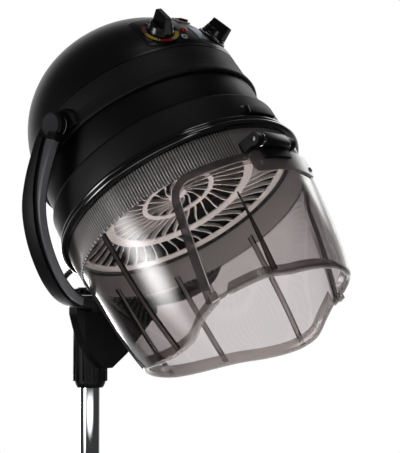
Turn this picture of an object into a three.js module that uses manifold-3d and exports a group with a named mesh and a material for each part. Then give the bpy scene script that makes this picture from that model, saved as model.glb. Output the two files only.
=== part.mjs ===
// A salon hood dryer head: a tilting hood on a fork, with a smoked skirt, a lift-up front visor
// and a fan heater inside. Millimetres, +Z up, the front of the hood faces -Y, and the origin is
// the middle of the lower end of the stand tube.
import * as THREE from "three";
import { mergeVertices } from "three/addons/utils/BufferGeometryUtils.js";
import Module from "manifold-3d";

const wasm = await Module();
wasm.setup();

// ---------- driving dimensions ----------
const GAP = 0.3; // what neighbouring pieces keep between them
const ROUND_GAP = 0.8; // the same between two round walls whose facets differ
const RUNNING = 0.8; // clearance round a turning shaft or a rocker

// Stand tube and socket.
const TUBE_R = 14;
const TUBE_WALL = 2;
const TUBE_LENGTH = 190;
const PLUG_HEAD = 4; // flange of the end plug, whose underside is the mount
const PLUG_LENGTH = 16;
const SOCKET_GRIP = 72; // length of tube inside the socket
const SOCKET_FOOT = TUBE_LENGTH - SOCKET_GRIP;
const SOCKET_R = 21.2;
const SOCKET_TOP_R = 24.5;
const SOCKET_HEIGHT = 104;
const SOCKET_CHAMFER = 3;
const BUSH_LENGTH = 30;
const BUSH_HEAD = 3;
const BUSH_BORE_R = 6;

// Fork. Its pivots' place is worked out under the skirt's sizes, so that the hood clears the hub.
const ARM_WIDTH = 32;
const ARM_THICK = 9;
const ARM_EYE_R = 17;
const ARM_LIP = 9.5; // width of the raised front edge
const COVER_WIDTH = 17;
const COVER_THICK = 3;
// Stations of an arm's middle line from below the pivot down to the hub: [share of the rim ring's
// radius, share of the pivot's reach ahead, share of the rise from the hub's middle].
const ARM_STATIONS = [
  [1.063, 0.914, 0.834], [1.08, 0.827, 0.68], [1.077, 0.779, 0.548], [1.048, 0.769, 0.424],
  [0.997, 0.779, 0.3], [0.9, 0.769, 0.177], [0.746, 0.683, 0.088], [0.547, 0.529, 0.035],
];
const HUB_HALF = 52; // half width of the hub between the two arms
const HUB_RISE = 25; // top of the hub above the socket's
const HUB_TOP = SOCKET_FOOT + SOCKET_HEIGHT + HUB_RISE;
const HUB_THICK = 22;
const HUB_CORNER = 52; // how far its front corners reach ahead of the tube axis
const HUB_WAIST = 37; // and its front face between them
const HUB_SIDE_BACK = 24;
const HUB_BACK = 26;
const WEB_THICK = 14;
// Stations of the web under the arms: [x, ahead of the tube axis, foot and head below the hub's top].
const WEB_STATIONS = [
  [8, 28, 101, 17], [35, 31, 82, 17], [HUB_HALF, 33, 66, 18], [70, 40, 44, 17], [83, 46, 25, 16],
];
const HUB_CLEARANCE = 13.2; // air between the hub's front and the back of the skirt
const RING_CLEARANCE = 20.4; // and between the hub's top and the rim ring
const CLAMP_WIDTH = 18; // the cable clamp's, to the left of the middle
const CLAMP_HEIGHT = 11;

// Pivots.
const BOSS_R = 16;
const BOSS_DEPTH = 8.4; // how far it reaches into the cap
const EYE_OFFSET = 15.6; // from the cap's side to the inner face of the arm
const BOLT_R = 5;
const BOLT_HEAD_R = 9;
const PIVOT_CAP_R = 14.8;
const WASHER_THICK = 2;

// Hood. Heights above the plane of the rim ring, radii from the hood's axis.
const PIVOT_RISE = 112;
const SHELL_WALL = 3;
const DOME_BASE = 107;
const DOME_R = 158.4;
const DOME_TOP = 268;
const DOME_POWER = 2.3; // exponent of the dome's superellipse
const CAP_SEAM = 141;
const CAP_FOOT = 95;
const CAP_PROUD = 3.9; // how far the cap's foot flares
const MIDDLE_BAND_R = DOME_R;
const LEDGE_WIDTH = 6.5; // how far the lower band turns in under the air baffle
const BAND_STEP = 8; // from the middle band out to the lower one
const LOWER_BAND_R = MIDDLE_BAND_R + BAND_STEP;
const LOWER_BAND_TOP = 53;
const RIM_PROUD = 9; // from the lower band out to the rim ring
const RIM_R = LOWER_BAND_R + RIM_PROUD;
const RIM_FOOT = -4.5;
const RIM_TOP = 12;
const LOWER_BEAD_R = 4.3; // round the ring's outer edge
const UPPER_BEAD_R = 4;
const BEAD_STEP = 3; // from the lower bead in to the upper one
const RIM_BORE_R = LOWER_BAND_R - SHELL_WALL - 0.5;
const FLANGE_WIDTH = 5; // of the ring's inner flange, which carries the grille
const FLANGE_THICK = 3.3;
const RIM_SEAT = RIM_FOOT + FLANGE_THICK;
const BOSS_INNER_X = DOME_R - BOSS_DEPTH;
const ARM_EYE_INNER_X = DOME_R + EYE_OFFSET;
const LATHE_STEPS = 40;

// Control panel on the front of the dome.
const ROCKER_HEIGHT = DOME_TOP - 64;
const ROCKER_WIDTH = 19;
const ROCKER_DEPTH = 11;
const ROCKER_RIM = 2;
const PANEL_HALF_ANGLE = 36.5;
const PANEL_TOP = ROCKER_HEIGHT + ROCKER_DEPTH / 2 + ROCKER_RIM + 4.5;
const PANEL_FOOT = PANEL_TOP - 70;
const PANEL_THICK = 1.4;
const TIMER_ANGLE = -25.5;
const HEAT_ANGLE = 14.5;
const KNOB_HEIGHT = { timer: ROCKER_HEIGHT - 33, heat: ROCKER_HEIGHT - 29 };
const KNOB_R = 17;
const KNOB_BASE = 11;
const KNOB_GRIP = 15;
const GRIP_THICK = 9;
const DIAL_R = { timer: 25, heat: 20 };
const DIAL_THICK = 1;
const SHAFT_R = 3;
const MECHANISM_SIDE = 30;
const MECHANISM_DEPTH = { timer: 32, heat: 24 };
const MECHANISM_DROP = 5.8; // top of the mechanisms, below the dome's outer face
const LAMP_R = 4;
// The two lamps: [name, angle, below the rocker].
const LAMPS = [["pilot_lamp", -11, 32], ["heat_lamp", -14.8, 47.5]];
const LABEL_ANGLES = [-6, 3];
const LABEL_HEIGHT = 30;
const LABEL_DROP = 22; // from the rocker's middle down to the label
const LABEL_THICK = 0.8;

// Skirt and visor, of smoked plastic.
const SKIRT_WALL = 2.6;
const SKIRT_TOP = RIM_FOOT - GAP;
const WINDOW_TOP = -55;
const WINDOW_ANGLE = 58; // half angle of the window at its top
const WINDOW_FOOT_ANGLE = 65;
const VISOR_STANDOFF = 2.2; // air between skirt and visor
const VISOR_WALL = 2.8;
const VISOR_TOP = -43;
const VISOR_ANGLE = 60;
const VISOR_FOOT_ANGLE = 70.5;
const VISOR_FOOT = -198.5;
const CORNER_R = 26; // of the upper corners of window and visor
const RIM_ROLL = 8;
const CURL_RUN = 8; // angle before the window edge where the visor's rolled foot runs out

// Visor hinge, across the front of the skirt.
const HINGE_R = 8.5;
const HINGE_PIN_R = 3;
const HINGE_HEIGHT = -35;
const BARREL_HALF = 28;
const HINGE_SHIFT = -22; // the barrel's middle lies to the left
const HINGE_PLAY = 0.5; // between barrel and knuckle, along the pin
const KNUCKLE_SEAT = 0.1; // from the collar to the knuckles' feet, where its facets come closest
const LEFT_KNUCKLE = 12;
const RIGHT_KNUCKLE = 11;
const LEAF_THICK = 3;
const LEAF_FOOT = -58;
const LEAF_INSET = 5; // from the barrel's ends in to the leaf's
const PLATE_HALF_ANGLE = 22.5;
const PLATE_FOOT = -73;
const PLATE_THICK = 2.4;
const SCREW_R = 3.6;
const SCREW_ANGLE = 18.5;
const SCREW_HEIGHT = -63;
const CATCH_HALF_ANGLE = 8.5;
const CATCH_THICK = 6;
const CATCH_HEIGHT = 13.5;
const CATCH_RISE = 1.5; // above the rim ring
const CLIP_HEIGHT = 10;
const CLIP_THICK = 4;
const CLIP_SPAN = 4; // degrees
const CLIP_INSET = 3; // degrees in from the visor's side edge

// Inside the hood.
const GRILLE_R = RIM_BORE_R - 2;
const GRILLE_RISE = 15;
const GRILLE_THICK = 2.4;
const BAFFLE_THICK = 2;
const BAFFLE_INLET_R = 62;
const FAN_R = 74;
const FAN_HEIGHT = 22;
const FAN_FOOT = 27;
const MOTOR_R = 34;
const MOTOR_FOOT = 74;
const STRAP_RISE = 28; // top of the inner frame above the pivots
const STRAP_TOP = PIVOT_RISE + STRAP_RISE;
const STRAP_THICK = 4;
const STRAP_WIDTH = 34;
const COIL_R = 112;
const COIL_WIRE_R = 6;
const COIL_HEIGHT = 36;
const POST_R = 5;

// Link cable from the hood's back to the hub.
const LINK_R = 4;
// Its route down to the clamp: [x, y, above the hub's top].
const LINK_ROUTE = [
  [-36, 16, 24], [-36, 16, 13], [-33, 6, 6.5], [-26, 0, 6], [-CLAMP_WIDTH - 2 * GAP, 0, 6],
];
const GLAND_R = 7;
const GLAND_ANGLE = -170;
const GLAND_HEIGHT = 24;
const GLAND_LENGTH = 12;

// Outer radius of the skirt at a height: it narrows and rounds in towards its foot.
const SKIRT_TAPER = [
  [-222, 39.5], [-195, 33], [-160, 25.2], [-120, 19.3], [-80, 15.3], [-40, 12.2], [0, 9.5],
];
function skirtRadius(z) {
  const i = Math.max(1, SKIRT_TAPER.findIndex(([height]) => height >= z));
  const [[z0, in0], [z1, in1]] = [SKIRT_TAPER[i - 1], SKIRT_TAPER[i]];
  return RIM_R - in0 - ((in1 - in0) * (z - z0)) / (z1 - z0);
}

// Height of the skirt's foot by angle from the front: lobes at the sides, higher at the back.
const SKIRT_FEET = [
  [WINDOW_FOOT_ANGLE, -198], [77, -207], [88, -219], [98, -219.5], [108, -215], [122, -204],
  [136, -192], [150, -186], [165, -184], [180, -184],
];

// Where the tilted hood's ring and skirt just clear the hub.
const REST_TILT = THREE.MathUtils.degToRad(34.3);
const RING_DROP = RIM_R * Math.sin(REST_TILT) + (PIVOT_RISE - RIM_FOOT) * Math.cos(REST_TILT);
const PIVOT_HEIGHT = HUB_TOP + RING_CLEARANCE + RING_DROP;
const SKIRT_REACH = skirtRadius(0) / Math.cos(REST_TILT) - (PIVOT_HEIGHT - HUB_TOP) * Math.tan(REST_TILT);
const PIVOT_FORWARD = HUB_WAIST + HUB_CLEARANCE + SKIRT_REACH; // pivot axis ahead of the tube axis

const FAR = 400; // how far a cutting tool reaches past what it cuts
const HOLE_REACH = 20; // and the same for the holes in the dome

// ---------- geometry helpers ----------
const rad = THREE.MathUtils.degToRad;
const lerp = THREE.MathUtils.lerp;

function toSolid(geometry) {
  const bare = geometry.clone();
  bare.deleteAttribute("normal");
  bare.deleteAttribute("uv");
  const merged = mergeVertices(bare, 1e-4);
  const index = merged.index.array;
  const kept = [];
  for (let i = 0; i < index.length; i += 3) {
    const [a, b, c] = [index[i], index[i + 1], index[i + 2]];
    if (a !== b && b !== c && c !== a) kept.push(a, b, c);
  }
  const mesh = new wasm.Mesh({
    numProp: 3,
    vertProperties: new Float32Array(merged.attributes.position.array),
    triVerts: new Uint32Array(kept),
  });
  return new wasm.Manifold(mesh);
}

function toGeometry(solid) {
  const mesh = solid.getMesh();
  const geometry = new THREE.BufferGeometry();
  geometry.setAttribute("position", new THREE.BufferAttribute(mesh.vertProperties, 3));
  geometry.setIndex(new THREE.BufferAttribute(mesh.triVerts, 1));
  return geometry;
}

function join(...geometries) {
  return toGeometry(geometries.map(toSolid).reduce((sum, solid) => sum.add(solid)));
}

function cut(base, ...tools) {
  return toGeometry(tools.map(toSolid).reduce((rest, solid) => rest.subtract(solid), toSolid(base)));
}

// A solid of revolution about Z from a closed profile of [radius, height] points.
function lathe(profile, steps = LATHE_STEPS) {
  const points = profile.map(([r, z]) => new THREE.Vector2(r, z));
  if (profile[0][0] !== 0) points.push(points[0].clone());
  if (THREE.ShapeUtils.area(points) < 0) points.reverse();
  return new THREE.LatheGeometry(points, steps).rotateX(Math.PI / 2);
}

// Points of an arc in a profile, its angles measured from the outward direction.
function arc(r, z, radius, from, to, steps = 4) {
  return Array.from({ length: steps + 1 }, (_, i) => {
    const turn = rad(lerp(from, to, i / steps));
    return [r + radius * Math.cos(turn), z + radius * Math.sin(turn)];
  });
}

function box(x0, x1, y0, y1, z0, z1) {
  const geometry = new THREE.BoxGeometry(x1 - x0, y1 - y0, z1 - z0);
  return geometry.translate((x0 + x1) / 2, (y0 + y1) / 2, (z0 + z1) / 2);
}

function post(r, z0, z1, steps = 24) {
  const geometry = new THREE.CylinderGeometry(r, r, z1 - z0, steps).rotateX(Math.PI / 2);
  return geometry.translate(0, 0, (z0 + z1) / 2);
}

function rod(r, x0, x1, steps = 24) {
  const geometry = new THREE.CylinderGeometry(r, r, x1 - x0, steps).rotateZ(Math.PI / 2);
  return geometry.translate((x0 + x1) / 2, 0, 0);
}

// A closed solid through rings of points that all have the same count; the ends are capped,
// or the last ring joins the first.
function loft(rings, closed = false) {
  const count = rings[0].length;
  const positions = rings.flat().flatMap((p) => [p.x, p.y, p.z]);
  const index = [];
  const last = closed ? rings.length : rings.length - 1;
  for (let i = 0; i < last; i++) {
    const next = (i + 1) % rings.length;
    for (let j = 0; j < count; j++) {
      const [a, b] = [i * count + j, i * count + ((j + 1) % count)];
      const [c, d] = [next * count + j, next * count + ((j + 1) % count)];
      index.push(a, b, d, a, d, c);
    }
  }
  if (!closed) {
    const start = (rings.length - 1) * count;
    const half = Math.floor(count / 2);
    // The sections are thin loops: outer points first, inner points back in reverse order.
    for (let j = 0; j < half - 1; j++) {
      const [a, b, c, d] = [j, j + 1, count - 2 - j, count - 1 - j];
      index.push(a, d, c, a, c, b);
      index.push(start + a, start + b, start + c, start + a, start + c, start + d);
    }
  }
  const geometry = new THREE.BufferGeometry();
  geometry.setAttribute("position", new THREE.Float32BufferAttribute(positions, 3));
  geometry.setIndex(index);
  return toSolid(geometry).volume() < 0 ? loft([...rings].reverse(), closed) : geometry;
}

const around = (r, angle, z) => new THREE.Vector3(r * Math.sin(rad(angle)), -r * Math.cos(rad(angle)), z);

// ---------- shapes of the hood ----------
// Radius of the dome's outer face at a height.
function domeRadius(z) {
  const u = Math.max(0, (z - DOME_BASE) / (DOME_TOP - DOME_BASE));
  return DOME_R * (1 - Math.min(1, u) ** DOME_POWER) ** (1 / DOME_POWER);
}

// Points of the dome's face, moved inwards by inset, from one height to the top.
function domeProfile(from, inset, steps) {
  const rise = DOME_TOP - DOME_BASE - inset;
  const start = Math.asin(((from - DOME_BASE) / rise) ** (DOME_POWER / 2));
  return Array.from({ length: steps + 1 }, (_, i) => {
    const s = lerp(start, Math.PI / 2, i / steps);
    const r = (DOME_R - inset) * Math.cos(s) ** (2 / DOME_POWER);
    return [i === steps ? 0 : r, DOME_BASE + rise * Math.sin(s) ** (2 / DOME_POWER)];
  });
}

// A frame that stands on the dome: its Z axis is the face's normal there.
function standOnDome(group, angle, z) {
  const slope = (domeRadius(z + 1) - domeRadius(z - 1)) / 2;
  const normal = around(1, angle, 0);
  normal.z = -slope;
  normal.normalize();
  const side = new THREE.Vector3(0, 0, 1).cross(normal).normalize();
  const up = new THREE.Vector3().crossVectors(normal, side);
  group.quaternion.setFromRotationMatrix(new THREE.Matrix4().makeBasis(side, up, normal));
  group.position.copy(around(domeRadius(z), angle, z));
  return group;
}

// A tool or piece placed on the dome, in the hood's frame.
function onDome(geometry, angle, z) {
  const group = standOnDome(new THREE.Group(), angle, z);
  group.updateMatrix();
  return geometry.applyMatrix4(group.matrix);
}

// A curved plate on the dome between two angles, standing off its face.
function domePatch(a0, a1, z0, z1, off, thick, columns, rows) {
  const rings = Array.from({ length: columns + 1 }, (_, i) => {
    const at = lerp(a0, a1, i / columns);
    const side = (offset) =>
      Array.from({ length: rows + 1 }, (_, j) => {
        const z = lerp(z0, z1, j / rows);
        const slope = (domeRadius(z + 1) - domeRadius(z - 1)) / 2;
        const length = Math.hypot(1, slope);
        return around(domeRadius(z) + offset / length, at, z - (offset * slope) / length);
      });
    return [...side(off + thick), ...side(off).reverse()];
  });
  return loft(rings);
}

// Columns that round the upper corner of a wall's edge, as [angle, drop] rows.
function roundCorner(edgeAngle) {
  const steps = 4;
  const perDegree = rad(skirtRadius(WINDOW_TOP));
  return Array.from({ length: steps + 1 }, (_, i) => {
    const turn = ((i / steps) * Math.PI) / 2;
    return [edgeAngle - (CORNER_R * (1 - Math.sin(turn))) / perDegree, CORNER_R * (1 - Math.cos(turn))];
  });
}

// One upright section of a smoked wall: outer points from the top down, a foot rolled inwards,
// and the inner points back up. Angles lean from the top to the foot, and curl 0 leaves the
// foot straight.
function wallSection(topAngle, footAngle, top, foot, offset, wall, rows, curl = 1) {
  const roll = Math.min(RIM_ROLL, (top - foot) / 4);
  const levels = Array.from({ length: rows + 1 }, (_, i) => lerp(top, foot + roll, i / rows));
  const angleAt = (z) => lerp(topAngle, footAngle, (top - z) / (top - foot));
  const outer = levels.map((z) => around(skirtRadius(z) + offset, angleAt(z), z));
  const inner = levels.map((z) => around(skirtRadius(z) + offset - wall, angleAt(z), z));
  const lip = skirtRadius(foot + roll) + offset;
  const turned = curl * roll;
  outer.push(around(lip - 0.4 * turned, footAngle, foot + 0.15 * roll));
  inner.push(around(lip - wall - 0.9 * turned, footAngle, foot + 0.5 * roll));
  outer.push(around(lip - 0.9 * turned, footAngle, foot));
  inner.push(around(lip - (1 - curl) * wall - 1.3 * turned, footAngle, foot + 0.3 * roll));
  return [...outer, ...inner.reverse()];
}

// ---------- materials ----------
const finish = (color, roughness, metalness = 0) =>
  new THREE.MeshStandardMaterial({ color, roughness, metalness });
const GLOSS_BLACK = [0x0b0b0c, 0.15];
const MATTE_BLACK = [0x17171a, 0.55];
const DARK_GREY = [0x3a3b3e, 0.5];
const CHROME = [0xd8dadc, 0.08, 1];
const STEEL = [0xb4b6b8, 0.35, 1];
const SMOKE = [0x6a6264, 0.08];
const BEIGE = [0xcfc8c5, 0.4];
const RED = [0xb02222, 0.3];
const WHITE = [0xe8e8e6, 0.35];
const COPPER = [0xb0653a, 0.35, 1];

const dryer = new THREE.Group();

function add(parent, name, geometry, look) {
  const mesh = new THREE.Mesh(geometry, finish(...look));
  mesh.name = name;
  parent.add(mesh);
  return mesh;
}

// ---------- stand tube ----------
function buildStand() {
  const bore = TUBE_R - TUBE_WALL;
  add(dryer, "pole_tube", lathe([
    [bore, PLUG_HEAD + GAP], [TUBE_R, PLUG_HEAD + GAP], [TUBE_R, TUBE_LENGTH], [bore, TUBE_LENGTH],
  ], 32), CHROME);
  add(dryer, "pole_end_plug", lathe([
    [0, 0], [TUBE_R, 0], [TUBE_R, PLUG_HEAD], [bore - GAP, PLUG_HEAD], [bore - GAP, PLUG_LENGTH],
    [0, PLUG_LENGTH],
  ], 24), MATTE_BLACK);
  const seat = TUBE_LENGTH + GAP;
  const foot = TUBE_LENGTH - BUSH_LENGTH;
  add(dryer, "pole_top_bush", lathe([
    [bore - GAP, foot], [bore - GAP, seat], [TUBE_R, seat], [TUBE_R, TUBE_LENGTH + BUSH_HEAD],
    [BUSH_BORE_R, TUBE_LENGTH + BUSH_HEAD], [BUSH_BORE_R, foot],
  ], 24), WHITE);
}

// ---------- fork ----------
// Middle of an arm's section from the pivot down to the hub, for the +X side.
function armPath() {
  const hubMiddle = HUB_TOP - HUB_THICK / 2;
  const bends = ARM_STATIONS.map(([out, ahead, rise]) =>
    [out * RIM_R, -ahead * PIVOT_FORWARD, lerp(hubMiddle, PIVOT_HEIGHT, rise)]);
  return new THREE.CatmullRomCurve3([
    [ARM_EYE_INNER_X + ARM_THICK / 2, -PIVOT_FORWARD, PIVOT_HEIGHT],
    ...bends,
    [HUB_HALF - 4, ARM_WIDTH / 2 - HUB_CORNER, hubMiddle],
  ].map((p) => new THREE.Vector3(...p)));
}

// A bar that follows the arm. The corners of its section are [across, out] offsets.
function strap(corners, from, to, steps) {
  const path = armPath();
  return loft(Array.from({ length: steps + 1 }, (_, i) => {
    const t = lerp(from, to, i / steps);
    const middle = path.getPoint(t);
    const along = path.getTangent(t);
    const across = new THREE.Vector3(0, 1, 0).addScaledVector(along, -along.y).normalize();
    const out = new THREE.Vector3().crossVectors(across, along).normalize();
    if (out.x - out.z < 0) out.negate();
    return corners.map(([a, o]) => middle.clone().addScaledVector(across, a).addScaledVector(out, o));
  }));
}

// Turns every face round, after a mirroring.
function flip(geometry) {
  const index = geometry.index.array;
  for (let i = 0; i < index.length; i += 3) [index[i + 1], index[i + 2]] = [index[i + 2], index[i + 1]];
  return geometry;
}

// An arm is a flat bar with a lip along its front edge; the cover fills the rest of its width.
function buildArm(side, tag) {
  const half = ARM_WIDTH / 2;
  const face = ARM_THICK / 2;
  const lip = face + COVER_THICK;
  const outerX = ARM_EYE_INNER_X + ARM_THICK;
  const toPivot = (geometry) => geometry.translate(0, -PIVOT_FORWARD, PIVOT_HEIGHT);
  const body = strap([
    [half, face], [-half + ARM_LIP + 1, face], [-half + ARM_LIP, lip], [-half, lip],
    [-half, -face], [-half + ARM_LIP, -face], [-half + ARM_LIP + 1, -face], [half, -face],
  ], 0.035, 1, 16);
  const cover = strap([
    [half, lip], [half - COVER_WIDTH, lip], [half - COVER_WIDTH, face + GAP], [half, face + GAP],
  ], 0.075, 0.93, 15);
  const eye = toPivot(rod(ARM_EYE_R, ARM_EYE_INNER_X, outerX, 28));
  const hole = toPivot(rod(BOLT_R + GAP, ARM_EYE_INNER_X - 10, outerX + 10, 16));
  const recess = toPivot(rod(PIVOT_CAP_R + 1, outerX, outerX + 30, 28));
  const hub = box(-HUB_HALF - GAP, HUB_HALF + GAP, -FAR, FAR, 0, HUB_TOP + FAR);
  const mirror = new THREE.Matrix4().makeScale(side, 1, 1);
  const placed = (geometry) => {
    const made = geometry.applyMatrix4(mirror);
    return side < 0 ? flip(made) : made;
  };
  add(dryer, "yoke_arm_" + tag, placed(cut(join(body, eye), hole, recess, hub)), GLOSS_BLACK);
  add(dryer, "arm_cover_" + tag, placed(cut(cover, recess, hub)), DARK_GREY);
}

// The socket's outline, grown all round to make the tool that clears it.
function socketBody(grown) {
  const top = SOCKET_FOOT + SOCKET_HEIGHT;
  return lathe([
    [0, SOCKET_FOOT - grown], [SOCKET_R - SOCKET_CHAMFER + grown, SOCKET_FOOT - grown],
    [SOCKET_R + grown, SOCKET_FOOT + 2 * SOCKET_CHAMFER], [SOCKET_TOP_R + grown, top - 18],
    [SOCKET_TOP_R + grown, top + grown], [0, top + grown],
  ], 32);
}

function buildHub() {
  const bore = post(TUBE_R + GAP, SOCKET_FOOT - 1, TUBE_LENGTH + BUSH_HEAD + GAP, 32);
  const ribs = [40, 130, 220, 310].map((angle) =>
    box(-2, 2, -SOCKET_TOP_R, -SOCKET_R + 4, SOCKET_FOOT + 8, SOCKET_FOOT + SOCKET_HEIGHT - 4)
      .rotateZ(rad(angle)));
  add(dryer, "pole_socket", cut(join(socketBody(0), ...ribs), bore), GLOSS_BLACK);

  const plan = new THREE.Shape();
  plan.moveTo(-HUB_HALF, -HUB_CORNER);
  plan.quadraticCurveTo(-20, -HUB_WAIST, 0, -HUB_WAIST);
  plan.quadraticCurveTo(20, -HUB_WAIST, HUB_HALF, -HUB_CORNER);
  plan.lineTo(HUB_HALF, -HUB_SIDE_BACK);
  plan.quadraticCurveTo(34, HUB_SIDE_BACK, 0, HUB_BACK);
  plan.quadraticCurveTo(-34, HUB_SIDE_BACK, -HUB_HALF, -HUB_SIDE_BACK);
  const block = new THREE.ExtrudeGeometry(plan, { depth: HUB_THICK, bevelEnabled: false, curveSegments: 8 });
  block.translate(0, 0, HUB_TOP - HUB_THICK);
  const stations = [...WEB_STATIONS.map(([x, ...rest]) => [-x, ...rest]).reverse(), ...WEB_STATIONS];
  const web = loft(stations.map(([x, ahead, foot, head]) => {
    const [front, back] = [-ahead - WEB_THICK / 2, -ahead + WEB_THICK / 2];
    return [[front, head], [front, foot], [back, foot], [back, head]]
      .map(([y, below]) => new THREE.Vector3(x, y, HUB_TOP - below));
  }));
  add(dryer, "yoke_hub", cut(join(block, web), socketBody(GAP)), GLOSS_BLACK);
  const clampFoot = HUB_TOP + GAP;
  add(dryer, "cable_clamp", box(-CLAMP_WIDTH, 0, -7, 7, clampFoot, clampFoot + CLAMP_HEIGHT), MATTE_BLACK);
}

// What sits on the pivot axis on one side, in the hood's turned frame so that it lines up.
function buildPivot(side, tag, parent) {
  const seat = ARM_EYE_INNER_X + ARM_THICK + GAP;
  const bossEnd = ARM_EYE_INNER_X - WASHER_THICK - 2 * GAP;
  const washerFace = bossEnd + GAP;
  const hole = () => rod(BOLT_R + GAP, BOSS_INNER_X - 20, seat + 20, 16);
  const placed = (name, geometry, look) => {
    if (side < 0) geometry.rotateZ(Math.PI);
    add(parent, name + "_" + tag, geometry.translate(0, 0, PIVOT_RISE), look);
  };
  placed("pivot_boss", cut(rod(BOSS_R, BOSS_INNER_X, bossEnd, 32), hole()), GLOSS_BLACK);
  placed("friction_washer", cut(rod(ARM_EYE_R - 2, washerFace, washerFace + WASHER_THICK), hole()), WHITE);
  placed("pivot_bolt",
    join(rod(BOLT_R, BOSS_INNER_X - 9, seat + 1, 16), rod(BOLT_HEAD_R, seat, seat + 2, 16)), STEEL);
  const headSpace = rod(BOLT_HEAD_R + GAP, seat - 1, seat + 2 + GAP, 16);
  placed("pivot_cap", cut(rod(PIVOT_CAP_R, seat, seat + 3.5, 28), headSpace), DARK_GREY);
}

// ---------- hood ----------
// A pair of tools along the pivot axis that bore out both sides.
function pivotTools(r, inner, outer, steps) {
  return [rod(r, inner, outer, steps), rod(r, -outer, -inner, steps)]
    .map((tool) => tool.translate(0, 0, PIVOT_RISE));
}

function buildShells(hood) {
  const flangeR = RIM_BORE_R - FLANGE_WIDTH;
  add(hood, "rim_ring", lathe([
    [flangeR, RIM_FOOT],
    ...arc(RIM_R - LOWER_BEAD_R, RIM_FOOT + LOWER_BEAD_R, LOWER_BEAD_R, -90, 60),
    ...arc(RIM_R - BEAD_STEP - UPPER_BEAD_R, RIM_TOP - UPPER_BEAD_R, UPPER_BEAD_R, -40, 90),
    [RIM_BORE_R, RIM_TOP], [RIM_BORE_R, RIM_SEAT], [flangeR, RIM_SEAT],
  ]), GLOSS_BLACK);
  const ledge = LOWER_BAND_TOP;
  const ledgeR = MIDDLE_BAND_R - LEDGE_WIDTH;
  add(hood, "lower_band", lathe([
    [LOWER_BAND_R - SHELL_WALL, RIM_TOP + GAP], [LOWER_BAND_R + 0.5, RIM_TOP + GAP],
    [LOWER_BAND_R - 1, ledge - 3], [LOWER_BAND_R - 3.5, ledge], [ledgeR, ledge],
    [ledgeR, ledge - SHELL_WALL], [LOWER_BAND_R - 5, ledge - SHELL_WALL],
  ]), MATTE_BLACK);
  const middleFoot = ledge + BAFFLE_THICK + 2 * GAP;
  add(hood, "middle_band", lathe([
    [MIDDLE_BAND_R - SHELL_WALL, middleFoot], [MIDDLE_BAND_R, middleFoot],
    [MIDDLE_BAND_R - 1, CAP_FOOT - GAP], [MIDDLE_BAND_R - 1 - SHELL_WALL, CAP_FOOT - GAP],
  ]), GLOSS_BLACK);
  const capTop = CAP_SEAM - GAP;
  const capMiddle = (DOME_BASE + CAP_SEAM) / 2;
  const capFootR = DOME_R + CAP_PROUD;
  add(hood, "cap_band", cut(lathe([
    [DOME_R - SHELL_WALL, CAP_FOOT], [capFootR - 1, CAP_FOOT], [capFootR, CAP_FOOT + 2],
    [DOME_R + 1.2, DOME_BASE], [domeRadius(capMiddle), capMiddle], [domeRadius(capTop), capTop],
    [domeRadius(capTop) - SHELL_WALL, capTop], [DOME_R - SHELL_WALL, DOME_BASE + 8],
  ]), ...pivotTools(BOSS_R + GAP, BOSS_INNER_X - 30, FAR, 32)), MATTE_BLACK);
  const outer = domeProfile(CAP_SEAM, 0, 9);
  const inner = domeProfile(CAP_SEAM, SHELL_WALL, 7).reverse();
  add(hood, "dome", cut(lathe([...inner, ...outer].slice(1)), ...panelHoles()), GLOSS_BLACK);
}

// ---------- controls ----------
const KNOBS = [["timer", TIMER_ANGLE], ["heat", HEAT_ANGLE]];

// Holes for the two shafts and the rocker, through panel and dome.
function panelHoles() {
  const [w, d] = [ROCKER_WIDTH / 2, ROCKER_DEPTH / 2];
  return [
    ...KNOBS.map(([tag, angle]) => {
      const hole = post(SHAFT_R + RUNNING, -HOLE_REACH, HOLE_REACH, 12);
      return onDome(hole, angle, KNOB_HEIGHT[tag]);
    }),
    onDome(box(-w, w, -d, d, -HOLE_REACH, HOLE_REACH), 0, ROCKER_HEIGHT),
  ];
}

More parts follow.
